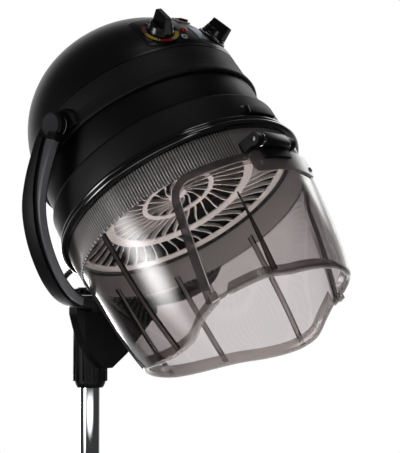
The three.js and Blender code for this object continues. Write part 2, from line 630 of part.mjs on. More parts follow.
function buildControls(hood) {
  const panelFace = GAP + PANEL_THICK;
  const face = panelFace + GAP;
  const spread = PANEL_HALF_ANGLE;
  const panel = domePatch(-spread, spread, PANEL_FOOT, PANEL_TOP, GAP, PANEL_THICK, 14, 6);
  const pads = KNOBS.map(([tag, angle]) =>
    onDome(post(DIAL_R[tag], -6, panelFace, 24), angle, KNOB_HEIGHT[tag]));
  const low = lerp(DOME_BASE, CAP_SEAM, 0.4);
  const domeSpace = lathe([[0, low], ...domeProfile(low, -GAP, 11)]);
  add(hood, "control_panel", cut(join(panel, ...pads), domeSpace, ...panelHoles()), MATTE_BLACK);

  const side = MECHANISM_SIDE / 2;
  for (const [tag, angle] of KNOBS) {
    const place = standOnDome(new THREE.Group(), angle, KNOB_HEIGHT[tag]);
    hood.add(place);
    const [bore, edge] = [SHAFT_R + RUNNING, DIAL_R[tag]];
    add(place, tag + "_dial", lathe([
      [bore, face], [edge, face], [edge, face + DIAL_THICK], [bore, face + DIAL_THICK],
    ], 24), WHITE);
    const foot = face + DIAL_THICK + GAP;
    const top = foot + KNOB_BASE;
    const base = lathe([[0, foot], [KNOB_R, foot], [KNOB_R - 2, top], [0, top]], 24);
    const grip = box(-GRIP_THICK / 2, GRIP_THICK / 2, -KNOB_R + 2, KNOB_R - 2, top - 1, top + KNOB_GRIP);
    const shaft = post(SHAFT_R, GAP - MECHANISM_DROP, foot + 1, 12);
    add(place, tag + "_knob", join(base, grip, shaft), MATTE_BLACK);
    const depth = MECHANISM_DEPTH[tag];
    const mechanism = box(-side, side, -side, side, -MECHANISM_DROP - depth, -MECHANISM_DROP);
    add(place, tag + "_mechanism", mechanism, DARK_GREY);
  }

  const rocker = standOnDome(new THREE.Group(), 0, ROCKER_HEIGHT);
  hood.add(rocker);
  const [w, d] = [ROCKER_WIDTH / 2, ROCKER_DEPTH / 2];
  const [frameW, frameD] = [w + ROCKER_RIM, d + ROCKER_RIM];
  const rim = box(-frameW, frameW, -frameD, frameD, face, face + 1.5);
  add(rocker, "rocker_frame", cut(rim, box(-w, w, -d, d, face - 1, face + 3)), WHITE);
  const key = box(-w + RUNNING, w - RUNNING, -d + RUNNING, d - RUNNING, -1, face + 4);
  add(rocker, "rocker_switch", key, RED);
  add(rocker, "rocker_housing",
    box(-frameW, frameW, -frameD, frameD, -MECHANISM_DROP - 18, -MECHANISM_DROP), MATTE_BLACK);

  for (const [name, angle, below] of LAMPS) {
    const lamp = standOnDome(new THREE.Group(), angle, ROCKER_HEIGHT - below);
    hood.add(lamp);
    add(lamp, name, lathe([
      [0, face], [LAMP_R, face], [LAMP_R, face + 1], [0.7 * LAMP_R, face + 2.4], [0, face + 3],
    ], 16), RED);
  }
  const labelTop = ROCKER_HEIGHT - LABEL_DROP;
  const label = domePatch(...LABEL_ANGLES, labelTop - LABEL_HEIGHT, labelTop, face, LABEL_THICK, 3, 3);
  add(hood, "label_plate", label, STEEL);
}

// ---------- inside the hood ----------
function buildInside(hood) {
  // The grille is a shallow cone with three rings of slots, on the rim ring's inner flange.
  const rise = (r) => RIM_SEAT + GAP + GRILLE_RISE * (1 - (r / GRILLE_R) ** 1.5);
  const radii = [0, 50, 104, 148, GRILLE_R];
  const profile = [
    ...radii.map((r) => [r, rise(r)]),
    ...[...radii].reverse().map((r) => [r, rise(r) + GRILLE_THICK]),
  ];
  const slots = [[18, 42, 8, 5], [58, 94, 14, 8], [114, 144, 22, 11]].flatMap(([r0, r1, count, width]) =>
    Array.from({ length: count }, (_, i) =>
      box(r0, r1, -width / 2, width / 2, -5, 30).rotateZ((2 * Math.PI * i) / count)));
  add(hood, "inner_grille", cut(lathe(profile), ...slots), BEIGE);

  const baffleFoot = LOWER_BAND_TOP + GAP;
  const hung = baffleFoot - GAP; // where pieces under the baffle end
  add(hood, "air_baffle", lathe([
    [BAFFLE_INLET_R, baffleFoot], [MIDDLE_BAND_R - 0.5, baffleFoot],
    [MIDDLE_BAND_R - 0.5, baffleFoot + BAFFLE_THICK], [BAFFLE_INLET_R, baffleFoot + BAFFLE_THICK],
  ]), STEEL);
  const coil = new THREE.TorusGeometry(COIL_R, COIL_WIRE_R, 8, 24);
  add(hood, "heater_coil", coil.translate(0, 0, COIL_HEIGHT), COPPER);
  for (const i of [0, 1, 2]) {
    const stand = post(POST_R, COIL_HEIGHT + COIL_WIRE_R + GAP, hung, 12);
    add(hood, "heater_post_" + (i + 1), stand.translate(COIL_R, 0, 0).rotateZ(rad(30 + 120 * i)), WHITE);
  }
  add(hood, "thermostat", post(8, hung - 6, hung, 16).translate(0, -88, 0), STEEL);

  const fanTop = FAN_FOOT + FAN_HEIGHT;
  const blade = box(36, FAN_R - 1, -0.8, 0.8, FAN_FOOT + 1, fanTop);
  const blades = Array.from({ length: 10 }, (_, i) => blade.clone().rotateZ(rad(36 * i)));
  const wheel = lathe([
    [0, FAN_FOOT], [FAN_R, FAN_FOOT], [FAN_R, FAN_FOOT + 2], [12, FAN_FOOT + 2], [10, fanTop],
    [4, fanTop], [4, MOTOR_FOOT - GAP], [0, MOTOR_FOOT - GAP],
  ], 30);
  add(hood, "fan", join(wheel, ...blades), DARK_GREY);
  const motorTop = STRAP_TOP - STRAP_THICK - GAP;
  add(hood, "motor", lathe([
    [0, MOTOR_FOOT], [10, MOTOR_FOOT], [10, MOTOR_FOOT + 4], [MOTOR_R - 4, MOTOR_FOOT + 4],
    [MOTOR_R, MOTOR_FOOT + 10], [MOTOR_R, motorTop - 6], [MOTOR_R - 6, motorTop], [0, motorTop],
  ], 24), STEEL);

  const legX = BOSS_INNER_X - GAP;
  const y = STRAP_WIDTH / 2;
  const legFoot = PIVOT_RISE - 20;
  add(hood, "inner_frame", cut(join(
    box(-legX, legX, -y, y, STRAP_TOP - STRAP_THICK, STRAP_TOP),
    box(-legX, -legX + STRAP_THICK, -y, y, legFoot, STRAP_TOP),
    box(legX - STRAP_THICK, legX, -y, y, legFoot, STRAP_TOP),
  ), ...pivotTools(BOLT_R + GAP, legX / 2, FAR, 16)), STEEL);
}

// ---------- skirt, visor and hinge ----------
// A block that follows a round wall between two angles; radiusAt gives its inner face.
function roundBlock(a0, a1, z0, z1, radiusAt, thick, steps) {
  return loft(Array.from({ length: steps + 1 }, (_, i) => {
    const angle = lerp(a0, a1, i / steps);
    return [
      around(radiusAt(z1) + thick, angle, z1), around(radiusAt(z0) + thick, angle, z0),
      around(radiusAt(z0), angle, z0), around(radiusAt(z1), angle, z1),
    ];
  }));
}

// Turns a piece made along +Z to stand out from a round wall.
function faceOut(geometry, r, angle, z) {
  return geometry.rotateX(Math.PI / 2).translate(0, -r, 0).rotateZ(rad(angle)).translate(0, 0, z);
}

// Outer faces of the visor and of the hinge plate at a height.
const visorFace = (z) => skirtRadius(z) + VISOR_STANDOFF + VISOR_WALL;
const plateFace = (z) => visorFace(z) + ROUND_GAP + PLATE_THICK;

function buildSkirt(hood) {
  const edge = [WINDOW_ANGLE, WINDOW_FOOT_ANGLE, SKIRT_FEET[0][1]];
  const upright = SKIRT_FEET[1][0]; // from here back the sections stand upright
  const topAngle = (angle) => (angle < upright ? (WINDOW_ANGLE + upright) / 2 : angle);
  const rest = SKIRT_FEET.slice(1).flatMap(([angle, foot], i) => {
    const [angleBefore, footBefore] = SKIRT_FEET[i];
    const middle = (angleBefore + angle) / 2;
    return [[topAngle(middle), middle, (footBefore + foot) / 2], [topAngle(angle), angle, foot]];
  });
  const right = [edge, ...rest];
  const mirrored = (columns) => columns.map(([top, foot, level]) => [-top, -foot, level]).reverse();
  const lean = (WINDOW_FOOT_ANGLE - WINDOW_ANGLE) / (SKIRT_TOP - edge[2]);
  const corner = roundCorner(WINDOW_ANGLE).map(([angle, drop], i, { length }) => {
    const foot = WINDOW_TOP - drop;
    const share = i / (length - 1); // the side edge leans, the middle stands upright
    return [angle, angle + share * lean * (SKIRT_TOP - foot), foot];
  });
  const span = corner[0][0];
  const window = [-0.6, -0.2, 0.2, 0.6].map((u) => [u * span, u * span, WINDOW_TOP]);
  const columns = [...mirrored(right.slice(0, -1)), ...mirrored(corner), ...window, ...corner, ...right];
  const rings = columns.map(([top, foot, level]) =>
    wallSection(top, foot, SKIRT_TOP, level, 0, SKIRT_WALL, 5));
  add(hood, "rear_skirt", loft(rings, true), SMOKE);
}

function buildVisor(hood) {
  const off = VISOR_STANDOFF + VISOR_WALL;
  const corner = roundCorner(VISOR_ANGLE);
  const span = corner[0][0];
  const middle = [-0.8, -0.6, -0.4, -0.2, 0, 0.2, 0.4, 0.6, 0.8].map((u) => [u * span, 0]);
  const left = corner.map(([angle, drop]) => [-angle, drop]).reverse();
  const rings = [...left, ...middle, ...corner].map(([angle, drop]) => {
    const foot = (angle * VISOR_FOOT_ANGLE) / VISOR_ANGLE;
    const top = lerp(angle, foot, drop / (VISOR_TOP - VISOR_FOOT));
    const curl = Math.abs(foot) < WINDOW_FOOT_ANGLE - CURL_RUN ? 1 : 0;
    return wallSection(top, foot, VISOR_TOP - drop, VISOR_FOOT, off, VISOR_WALL, 5, curl);
  });
  add(hood, "front_visor", loft(rings), SMOKE);
  const plate = roundBlock(-PLATE_HALF_ANGLE, PLATE_HALF_ANGLE, PLATE_FOOT, VISOR_TOP - 1,
    (z) => visorFace(z) + ROUND_GAP, PLATE_THICK, 6);
  add(hood, "hinge_plate", plate, SMOKE);
  for (const [tag, side] of [["left", -1], ["right", 1]]) {
    const screw = lathe([[0, 0], [SCREW_R, 0], [SCREW_R, 1], [0.6 * SCREW_R, 2.2], [0, 2.2]], 16);
    const seat = plateFace(SCREW_HEIGHT) + 2 * GAP;
    add(hood, "visor_screw_" + tag, faceOut(screw, seat, side * SCREW_ANGLE, SCREW_HEIGHT), CHROME);
    const inner = VISOR_FOOT_ANGLE - CLIP_INSET - CLIP_SPAN;
    const [near, far] = [side * inner, side * (inner + CLIP_SPAN)].sort((a, b) => a - b);
    const clipTop = VISOR_FOOT + CLIP_HEIGHT;
    add(hood, "rim_clip_" + tag, roundBlock(near, far, VISOR_FOOT, clipTop,
      () => visorFace(clipTop) + GAP, CLIP_THICK, 2), MATTE_BLACK);
  }
}

function buildHinge(hood) {
  const axisR = skirtRadius(HINGE_HEIGHT) + HINGE_R + 1.5;
  const place = (geometry) => geometry.translate(0, -axisR, HINGE_HEIGHT);
  const pinHole = () => place(rod(HINGE_PIN_R + GAP, -FAR, FAR, 16));
  const [left, right] = [HINGE_SHIFT - BARREL_HALF, HINGE_SHIFT + BARREL_HALF];
  const angleOf = (x) => THREE.MathUtils.radToDeg(Math.asin(x / axisR));
  const leaf = roundBlock(angleOf(left + LEAF_INSET), angleOf(right - LEAF_INSET), LEAF_FOOT, HINGE_HEIGHT,
    (z) => plateFace(z) + ROUND_GAP, LEAF_THICK, 3);
  add(hood, "hinge_barrel", cut(join(place(rod(HINGE_R, left, right, 24)), leaf), pinHole()), GLOSS_BLACK);
  const low = 2 * HINGE_HEIGHT;
  const wallSpace = lathe([
    [0, low], [skirtRadius(low) + KNUCKLE_SEAT, low], [skirtRadius(0) + KNUCKLE_SEAT, 0], [0, 0],
  ]);
  const knuckles = [
    ["left", left - HINGE_PLAY - LEFT_KNUCKLE, left - HINGE_PLAY],
    ["right", right + HINGE_PLAY, right + HINGE_PLAY + RIGHT_KNUCKLE],
  ];
  for (const [tag, x0, x1] of knuckles) {
    const foot = box(x0, x1, 0, axisR / 4, VISOR_TOP - HINGE_HEIGHT + 2, HINGE_R);
    const knuckle = cut(place(join(rod(HINGE_R, x0, x1, 24), foot)), pinHole(), wallSpace);
    add(hood, "hinge_knuckle_" + tag, knuckle, GLOSS_BLACK);
  }
  add(hood, "hinge_pin", place(rod(HINGE_PIN_R, knuckles[0][1] + 2, knuckles[1][2] - 2, 16)), CHROME);
  const catchFoot = RIM_TOP + CATCH_RISE;
  const block = roundBlock(-CATCH_HALF_ANGLE, CATCH_HALF_ANGLE, catchFoot, catchFoot + CATCH_HEIGHT,
    () => LOWER_BAND_R + 0.5 + ROUND_GAP, CATCH_THICK, 4);
  add(hood, "visor_catch", block, GLOSS_BLACK);
}

// ---------- link cable from the hood to the hub ----------
function buildCable(hood) {
  const start = LOWER_BAND_R + 1;
  const end = start + GLAND_LENGTH;
  const gland = faceOut(post(GLAND_R, 0, GLAND_LENGTH, 16), start, GLAND_ANGLE, GLAND_HEIGHT);
  add(hood, "cable_gland", gland, MATTE_BLACK);
  const path = new THREE.CatmullRomCurve3([
    hoodToWorld(around(end + GAP, GLAND_ANGLE, GLAND_HEIGHT)),
    hoodToWorld(around(end + 14, GLAND_ANGLE, GLAND_HEIGHT)),
    ...LINK_ROUTE.map(([x, y, above]) => new THREE.Vector3(x, y, HUB_TOP + above)),
  ]);
  const section = new THREE.Shape();
  section.absarc(0, 0, LINK_R, 0, 2 * Math.PI);
  const cable = new THREE.ExtrudeGeometry(section, { steps: 18, curveSegments: 4, extrudePath: path });
  add(dryer, "link_cable", cable, MATTE_BLACK);
}

// ---------- assembly ----------
const tilted = new THREE.Group();
tilted.position.set(0, -PIVOT_FORWARD, PIVOT_HEIGHT);
tilted.rotation.x = -REST_TILT;
const hood = new THREE.Group();
hood.position.z = -PIVOT_RISE;
tilted.add(hood);
dryer.add(tilted);

function hoodToWorld(point) {
  dryer.updateMatrixWorld(true);
  return point.applyMatrix4(hood.matrixWorld);
}

buildStand();
buildHub();
for (const [tag, side] of [["left", -1], ["right", 1]]) {
  buildArm(side, tag);
  buildPivot(side, tag, hood);
}
buildShells(hood);
buildControls(hood);
buildInside(hood);
buildSkirt(hood);
buildVisor(hood);
buildHinge(hood);
buildCable(hood);

export default dryer;
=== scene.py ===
import math

import bmesh
import bpy
from mathutils import Matrix, Vector


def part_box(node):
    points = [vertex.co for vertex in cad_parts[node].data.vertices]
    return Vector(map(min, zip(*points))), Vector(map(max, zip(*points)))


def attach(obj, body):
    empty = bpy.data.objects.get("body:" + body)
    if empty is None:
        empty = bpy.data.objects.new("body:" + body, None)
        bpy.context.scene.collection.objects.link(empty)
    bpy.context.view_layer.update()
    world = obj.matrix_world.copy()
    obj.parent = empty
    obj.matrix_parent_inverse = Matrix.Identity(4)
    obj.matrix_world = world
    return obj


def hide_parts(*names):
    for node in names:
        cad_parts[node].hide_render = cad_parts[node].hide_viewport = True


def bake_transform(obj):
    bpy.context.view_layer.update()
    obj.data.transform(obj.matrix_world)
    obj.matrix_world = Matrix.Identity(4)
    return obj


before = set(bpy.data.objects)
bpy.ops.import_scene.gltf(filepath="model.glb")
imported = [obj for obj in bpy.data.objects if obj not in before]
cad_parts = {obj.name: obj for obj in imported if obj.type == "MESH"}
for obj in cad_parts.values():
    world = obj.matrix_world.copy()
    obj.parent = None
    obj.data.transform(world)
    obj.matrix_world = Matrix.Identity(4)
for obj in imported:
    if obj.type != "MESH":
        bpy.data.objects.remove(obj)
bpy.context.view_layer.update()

# Sizes are in millimetres. Pieces of the hood are made in the hood's own frame, whose Z axis is
# the hood's axis and whose origin is the middle of the rim ring; all others in the part's frame.
MM = 0.001
TILT = math.radians(34.3)
PIVOT = Vector((0, -104.03, 462.48))
PIVOT_RISE = 112
PART = Matrix.Scale(MM, 4)
HOOD = (PART @ Matrix.Translation(PIVOT) @ Matrix.Rotation(-TILT, 4, "X")
        @ Matrix.Translation((0, 0, -PIVOT_RISE)))


def new_object(name, data):
    """A new object in the scene."""
    obj = bpy.data.objects.new(name, data)
    bpy.context.scene.collection.objects.link(obj)
    return obj


# ---------- camera ----------
def make_camera():
    lens = bpy.data.cameras.new("camera")
    lens.sensor_fit = "HORIZONTAL"
    lens.sensor_width = 36
    lens.lens = 117
    lens.clip_end = 100
    camera = new_object("camera", lens)
    eye, target = Vector((-1.3422, -1.2651, 0.2481)), Vector((0.0161, -0.1847, 0.3391))
    camera.location = eye
    camera.rotation_euler = (target - eye).to_track_quat("-Z", "Y").to_euler()
    bpy.context.scene.camera = camera


make_camera()


# ---------- curves and tables ----------
def spaced(start, end, steps):
    """Evenly spaced values, both ends included."""
    return [start + (end - start) * i / steps for i in range(steps + 1)]


def cubic(u, start, leaving, end, arriving):
    """Hermite curve at share u between two values or points, from its slopes at the two."""
    return ((2 * u ** 3 - 3 * u ** 2 + 1) * start + (u ** 3 - 2 * u ** 2 + u) * leaving
            + (3 * u ** 2 - 2 * u ** 3) * end + (u ** 3 - u ** 2) * arriving)


def spline(points, t):
    """Point at share t of a centripetal Catmull-Rom curve through the points."""
    spans = len(points) - 1
    i = min(int(t * spans), spans - 1)
    u = t * spans - i
    p1, p2 = points[i], points[i + 1]
    p0 = points[i - 1] if i > 0 else 2 * p1 - p2
    p3 = points[i + 2] if i + 2 <= spans else 2 * p2 - p1
    d0, d1, d2 = (max((b - a).length ** 0.5, 1e-6) for a, b in ((p0, p1), (p1, p2), (p2, p3)))
    m1 = ((p1 - p0) / d0 - (p2 - p0) / (d0 + d1) + (p2 - p1) / d1) * d1
    m2 = ((p2 - p1) / d1 - (p3 - p1) / (d1 + d2) + (p3 - p2) / d2) * d1
    return cubic(u, p1, m1, p2, m2)


def read_table(table, x):
    """Smooth value at x of a table of (x, value) rows."""
    i = max(k for k in range(len(table) - 1) if k == 0 or table[k][0] <= x)
    (x0, y0), (x1, y1) = table[i], table[i + 1]
    before, after = table[max(i - 1, 0)], table[min(i + 2, len(table) - 1)]
    step = x1 - x0
    u = (x - x0) / step
    m0 = (y1 - before[1]) / (x1 - before[0]) * step
    m1 = (after[1] - y0) / (after[0] - x0) * step
    return cubic(u, y0, m0, y1, m1)


def around(r, angle, z):
    """Point at a radius and an angle from the hood's front, towards +X."""
    a = math.radians(angle)
    return Vector((r * math.sin(a), -r * math.cos(a), z))


def soften(outline, radius, steps=3):
    """The closed outline with its corners rounded, except those on the axis."""
    out = []
    for i, p in enumerate(outline):
        p, a, b = Vector(p), Vector(outline[i - 1]), Vector(outline[(i + 1) % len(outline)])
        cut = min(radius, 0.45 * (a - p).length, 0.45 * (b - p).length)
        if abs(p.x) < 1e-9 or cut < 0.02:
            out.append(p)
            continue
        start, end = p + (a - p).normalized() * cut, p + (b - p).normalized() * cut
        for t in spaced(0, 1, steps):
            out.append((1 - t) ** 2 * start + 2 * t * (1 - t) * p + t ** 2 * end)
    return out


# ---------- meshes ----------
def skin(rings, along_closed=False):
    """A mesh over closed rings of points that all have the same count. Its two ends are filled,
    or it runs on from the last ring to the first."""
    bm = bmesh.new()
    rows = [[bm.verts.new(p) for p in ring] for ring in rings]
    count = len(rows[0])
    for i in range(len(rows) if along_closed else len(rows) - 1):
        a, b = rows[i], rows[(i + 1) % len(rows)]
        for j in range(count):
            k = (j + 1) % count
            bm.faces.new((a[j], a[k], b[k], b[j]))
    if not along_closed:
        bm.faces.new(rows[0])
        bm.faces.new(reversed(rows[-1]))
    return bm


def revolve(outline, steps=160, radius=0.6, axis="Z"):
    """A solid of revolution from a closed outline of (radius, height) points."""
    points = soften(outline, radius) if radius else [Vector(p) for p in outline]
    rings = []
    for i in range(steps):
        turn = Matrix.Rotation(2 * math.pi * i / steps, 3, "Z")
        rings.append([turn @ Vector((p.x, 0, p.y)) for p in points])
    bm = skin(rings, along_closed=True)
    if axis == "X":
        bm.transform(Matrix.Rotation(math.pi / 2, 4, "Y"))
    return bm


def block(x0, x1, y0, y1, z0, z1, taper=0.0):
    """A box whose top is narrower by taper on each side in X."""
    return skin([[(x0 + t, y0, z), (x1 - t, y0, z), (x1 - t, y1, z), (x0 + t, y1, z)]
                 for z, t in ((z0, 0), (z1, taper))])


def merged(*meshes):
    """One mesh out of several, which may pass through each other."""
    whole = bmesh.new()
    for bm in meshes:
        part = bpy.data.meshes.new("part")
        bm.to_mesh(part)
        bm.free()
        whole.from_mesh(part)
        bpy.data.meshes.remove(part)
    return whole


def piece(name, bm, material, body, replaces=(), place=None, bevel=0.0, sharp=32):
    """Turns the mesh into a named object that moves with a body. Unless it is given a place, a
    piece of the hood or its visor is in the hood's frame, and any other in the part's."""
    if place is None:
        place = HOOD if body in ("hood", "visor") else PART
    bmesh.ops.remove_doubles(bm, verts=bm.verts, dist=1e-4)
    bmesh.ops.recalc_face_normals(bm, faces=bm.faces)
    bm.transform(place)
    mesh = bpy.data.meshes.new(name)
    bm.to_mesh(mesh)
    bm.free()
    obj = new_object(name, mesh)
    mesh.materials.append(material)
    smooth(obj, bevel, sharp)
    if body:
        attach(obj, body)
    if replaces:
        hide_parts(*replaces)
    return obj


def smooth(obj, bevel, sharp=32):
    """Smooth shading up to an angle, and a small moulded edge."""
    for face in obj.data.polygons:
        face.use_smooth = True
    obj.data.set_sharp_from_angle(angle=math.radians(sharp))
    if bevel:
        edge = obj.modifiers.new("edge", "BEVEL")
        edge.width = bevel * MM
        edge.segments = 2
        edge.limit_method = "ANGLE"
        edge.angle_limit = math.radians(40)


def placed_on_dome(angle, z):
    """A frame on the dome's face: Z out, Y up the dome, X towards the sitter's left."""
    slope = (dome_radius(z + 1) - dome_radius(z - 1)) / 2
    out = around(1, angle, -slope).normalized()
    side = Vector((0, 0, 1)).cross(out).normalized()
    up = out.cross(side)
    turn = Matrix((side, up, out)).transposed().to_4x4()
    return HOOD @ Matrix.Translation(around(dome_radius(z), angle, z)) @ turn


# ---------- materials ----------
def linear(colour):
    """A six-digit sRGB hex colour as a linear RGBA value."""
    parts = [int(colour[i:i + 2], 16) / 255 for i in (1, 3, 5)]
    return tuple(c / 12.92 if c <= 0.04045 else ((c + 0.055) / 1.055) ** 2.4 for c in parts) + (1,)


def add_node(tree, kind, inputs=None, **settings):
    """Adds a shader node. Its inputs, by name or number, are given a value, another node's output,
    or another node, whose first output is meant."""
    node = tree.nodes.new("ShaderNode" + kind)
    for key, value in settings.items():
        setattr(node, key, value)
    for key, value in (inputs or {}).items():
        source = value.outputs[0] if isinstance(value, bpy.types.Node) else value
        if isinstance(source, bpy.types.NodeSocket):
            tree.links.new(source, node.inputs[key])
        else:
            node.inputs[key].default_value = source
    return node


def empty_tree(owner):
    """The shader tree of a material, a lamp or the world, with no nodes in it yet."""
    owner.use_nodes = True
    owner.node_tree.nodes.clear()
    return owner.node_tree


def new_material(name):
    material = bpy.data.materials.new(name)
    return material, empty_tree(material)


def grain(tree, size_mm, stretch=None):
    """Noise whose spots are about size_mm across, or drawn out along the ways of the stretch."""
    place = add_node(tree, "TexCoord").outputs["Object"]
    if stretch:
        place = add_node(tree, "Mapping", {"Vector": place, "Scale": stretch})
    return add_node(tree, "TexNoise", {
        "Vector": place, "Scale": 1 / (size_mm * MM), "Detail": 3.0 if stretch else 2.0})


def solid_surface(tree, patches, roughness, spread, fine, depth_mm, **sockets):
    """A principled surface: its roughness varies with the patches, and the fine grain stands up
    by its depth. The sockets go straight to the shader."""
    rough = add_node(tree, "MapRange", {
        "Value": patches, "From Min": 0.3, "From Max": 0.7,
        "To Min": max(roughness - spread / 2, 0.02), "To Max": roughness + spread / 2})
    bump = add_node(tree, "Bump", {"Height": fine, "Distance": depth_mm * MM, "Strength": 1.0})
    surface = add_node(tree, "BsdfPrincipled", {"Roughness": rough, "Normal": bump, **sockets})
    add_node(tree, "OutputMaterial", {"Surface": surface})


def moulded(name, colour, roughness, grain_mm=1.0, depth_mm=0.03, spread=0.08, specular=0.5, **sockets):
    """Moulded plastic or a like solid: grain in its face, and a roughness that varies a little."""
    material, tree = new_material(name)
    fine = grain(tree, grain_mm)
    shade = add_node(tree, "MixRGB", {
        "Fac": fine, "Color1": linear(colour),
        "Color2": tuple(c * 0.8 for c in linear(colour)[:3]) + (1,)})
    solid_surface(tree, grain(tree, 45), roughness, spread, fine, depth_mm, **{
        "Base Color": shade, "IOR": 1.5, "Specular IOR Level": specular, **sockets})
    return material


def metal(name, colour, roughness, grain_mm, stretch=(1, 1, 1), depth_mm=0.005, spread=0.06):
    """Bare or plated metal, with its grain drawn out along one way."""
    material, tree = new_material(name)
    lines = grain(tree, grain_mm, stretch)
    solid_surface(tree, lines, roughness, spread, lines, depth_mm, **{
        "Base Color": linear(colour), "Metallic": 1.0})
    return material


def smoked_acrylic(name, tint, edge_tint, edge_power=3.0, haze=0.0, haze_colour="#6e6867",
                   roughness=0.06, outline=False):
    """Clear smoked PMMA sheet: each face lets the tint through, mirrors about a twenty-fifth
    of the light head on and more at a slant, and looks darker where it is seen edge on.
    Haze is the share of light that the smoke in it scatters. With an outline, the last sliver
    before the face turns away is dark: there the sheet is seen along its whole depth."""
    material, tree = new_material(name)
    slant = add_node(tree, "LayerWeight", {"Blend": 0.5}).outputs["Facing"]
    mirror = add_node(tree, "Math", {0: slant, 1: 5.0}, operation="POWER")
    share = add_node(tree, "Math", {0: mirror, 1: 0.96, 2: 0.04}, operation="MULTIPLY_ADD")
    depth = add_node(tree, "Math", {0: slant, 1: edge_power}, operation="POWER")
    colour = add_node(tree, "MixRGB", {
        "Fac": depth, "Color1": linear(tint), "Color2": linear(edge_tint)})
    through = add_node(tree, "BsdfTransparent", {"Color": colour})
    if haze:
        cloud = add_node(tree, "BsdfDiffuse", {"Color": linear(haze_colour)})
        through = add_node(tree, "MixShader", {0: haze, 1: through, 2: cloud})
    gloss = add_node(tree, "BsdfAnisotropic", {"Color": (1, 1, 1, 1), "Roughness": roughness})
    mixed = add_node(tree, "MixShader", {
        0: share, 1: through, 2: gloss})
    if outline:
        turned = add_node(tree, "MapRange", {
            "Value": slant, "From Min": 0.78, "From Max": 0.86}, interpolation_type="SMOOTHSTEP")
        deep = add_node(tree, "BsdfDiffuse", {"Color": linear(edge_tint)})
        mixed = add_node(tree, "MixShader", {
            0: turned, 1: mixed, 2: deep})
    add_node(tree, "OutputMaterial", {"Surface": mixed})
    return material


# Polished chrome plate on steel tube: near mirror, with the faint lines of drawing along Z.
chrome = metal("polished_chrome", "#dfe1e3", 0.06, 1.5, stretch=(1, 1, 0.05), depth_mm=0.001, spread=0.03)
# Zinc-plated sheet steel: satin and slightly cloudy.
zinc = metal("zinc_plated_steel", "#b9bcbf", 0.34, 4.0)
# Polished black ABS of the rim ring: deep black with the slight waviness of moulding.
polished_abs = moulded("polished_black_abs", "#0b0b0c", 0.1, grain_mm=6, depth_mm=0.01, spread=0.03,
                       specular=1.0)
# Gloss black ABS of the dome, dulled a little by handling.
gloss_abs = moulded("gloss_black_abs", "#0d0d0e", 0.34, grain_mm=6, depth_mm=0.02, spread=0.06,
                    specular=0.35)
# Plain satin black ABS of the fork and the middle shell.
satin_abs = moulded("satin_black_abs", "#0a0a0b", 0.5, grain_mm=1.6, depth_mm=0.04,
                    specular=0.2)
# Spark-eroded black ABS of the bands: an even grain, drawn about 1.2 mm so that it shows.
grained_abs = moulded("spark_grained_abs", "#171718", 0.55, grain_mm=1.2, depth_mm=0.1, specular=0.25)
# Satin charcoal ABS of the arms' cover strips and of the works inside.
charcoal_abs = moulded("satin_charcoal_abs", "#121214", 0.52, depth_mm=0.05, specular=0.2)
# Matt grey ABS of the pivot discs.
disc_abs = moulded("matt_charcoal_abs", "#2b2b2e", 0.55, depth_mm=0.05, specular=0.2)
# The arms' front edges in a lighter grey: painted light, standing in for the light their front faces
# catch.
front_lit_abs = moulded("charcoal_abs_painted_light", "#4e4e51", 0.42, depth_mm=0.04)
# Dull dark grey on the sheet steel inside and the motor: painted shade, which keeps the slots of the
# grille dark.
shade_dark_steel = moulded("shade_dark_steel", "#2a2827", 0.5, grain_mm=3.0, depth_mm=0.02)
# Pressed phenolic of the knobs: black and shiny, its edges catch the light.
phenolic = moulded("polished_black_phenolic", "#0a0a0b", 0.24, grain_mm=2.0, depth_mm=0.02)
# Black nylon of the plug, clamp and gland: a fine dull skin.
nylon = moulded("black_nylon", "#141415", 0.42, grain_mm=0.8, depth_mm=0.03)
# Light grey inlay of the knobs' pointers; the same grey down each blade's front end is a painted
# highlight.
pointer_and_glint_grey = moulded("pointer_grey_and_painted_highlight", "#6f7073", 0.35, depth_mm=0.02)
# White acetal of bushes and washers.
acetal = moulded("white_acetal", "#dcdcd8", 0.38, grain_mm=2.0, depth_mm=0.02)
# Warm white polypropylene of the grille: satin, softly mottled.
grille_pp = moulded("warm_white_polypropylene", "#e2dad6", 0.42, grain_mm=2.5, depth_mm=0.03)
# Screen-printed dial colours under a satin lacquer.
print_yellow, print_red, print_brown, print_white = (
    moulded(name + "_print", colour, 0.4, depth_mm=0.01) for name, colour in (
        ("yellow", "#d9b23a"), ("red", "#b3262b"), ("brown", "#7a3a30"), ("white", "#e9e7e2")))
# Red translucent polycarbonate of the pilot lamp, which glows a little, and of the rocker.
lamp_red = moulded("red_polycarbonate", "#8c1f1c", 0.18, grain_mm=3, depth_mm=0.01,
                   **{"Emission Color": linear("#8c1f1c"), "Emission Strength": 0.15})
rocker_red = moulded("brown_red_polycarbonate", "#5a241f", 0.2, grain_mm=3, depth_mm=0.01)
# Brushed foil of the plain rating plate.
foil = metal("brushed_aluminium_foil", "#8b93a3", 0.3, 0.6, stretch=(0.1, 1, 1), depth_mm=0.004)
# Heat-tinted resistance wire.
heater_wire = metal("heat_tinted_alloy", "#7d4b35", 0.45, 2.0)
# Ribbed PVC conduit, glossy enough to glint on each rib.
conduit_pvc = moulded("ribbed_pvc", "#232325", 0.12, grain_mm=2, depth_mm=0.02)
# Light grey that paints the highlights along edges: the visor border's inner line and the teeth at the
# collar's foot.
edge_glint = moulded("painted_edge_highlight", "#c4bfbe", 0.3, depth_mm=0.02)
# Smoked PMMA sheet of the visor; the skirt's has a dark outline where it turns away.
smoke = smoked_acrylic("smoked_acrylic", "#e6e3e3", "#5d5859")
smoke_skirt = smoked_acrylic("smoked_acrylic_skirt", "#e6e3e3", "#3a3637", outline=True)
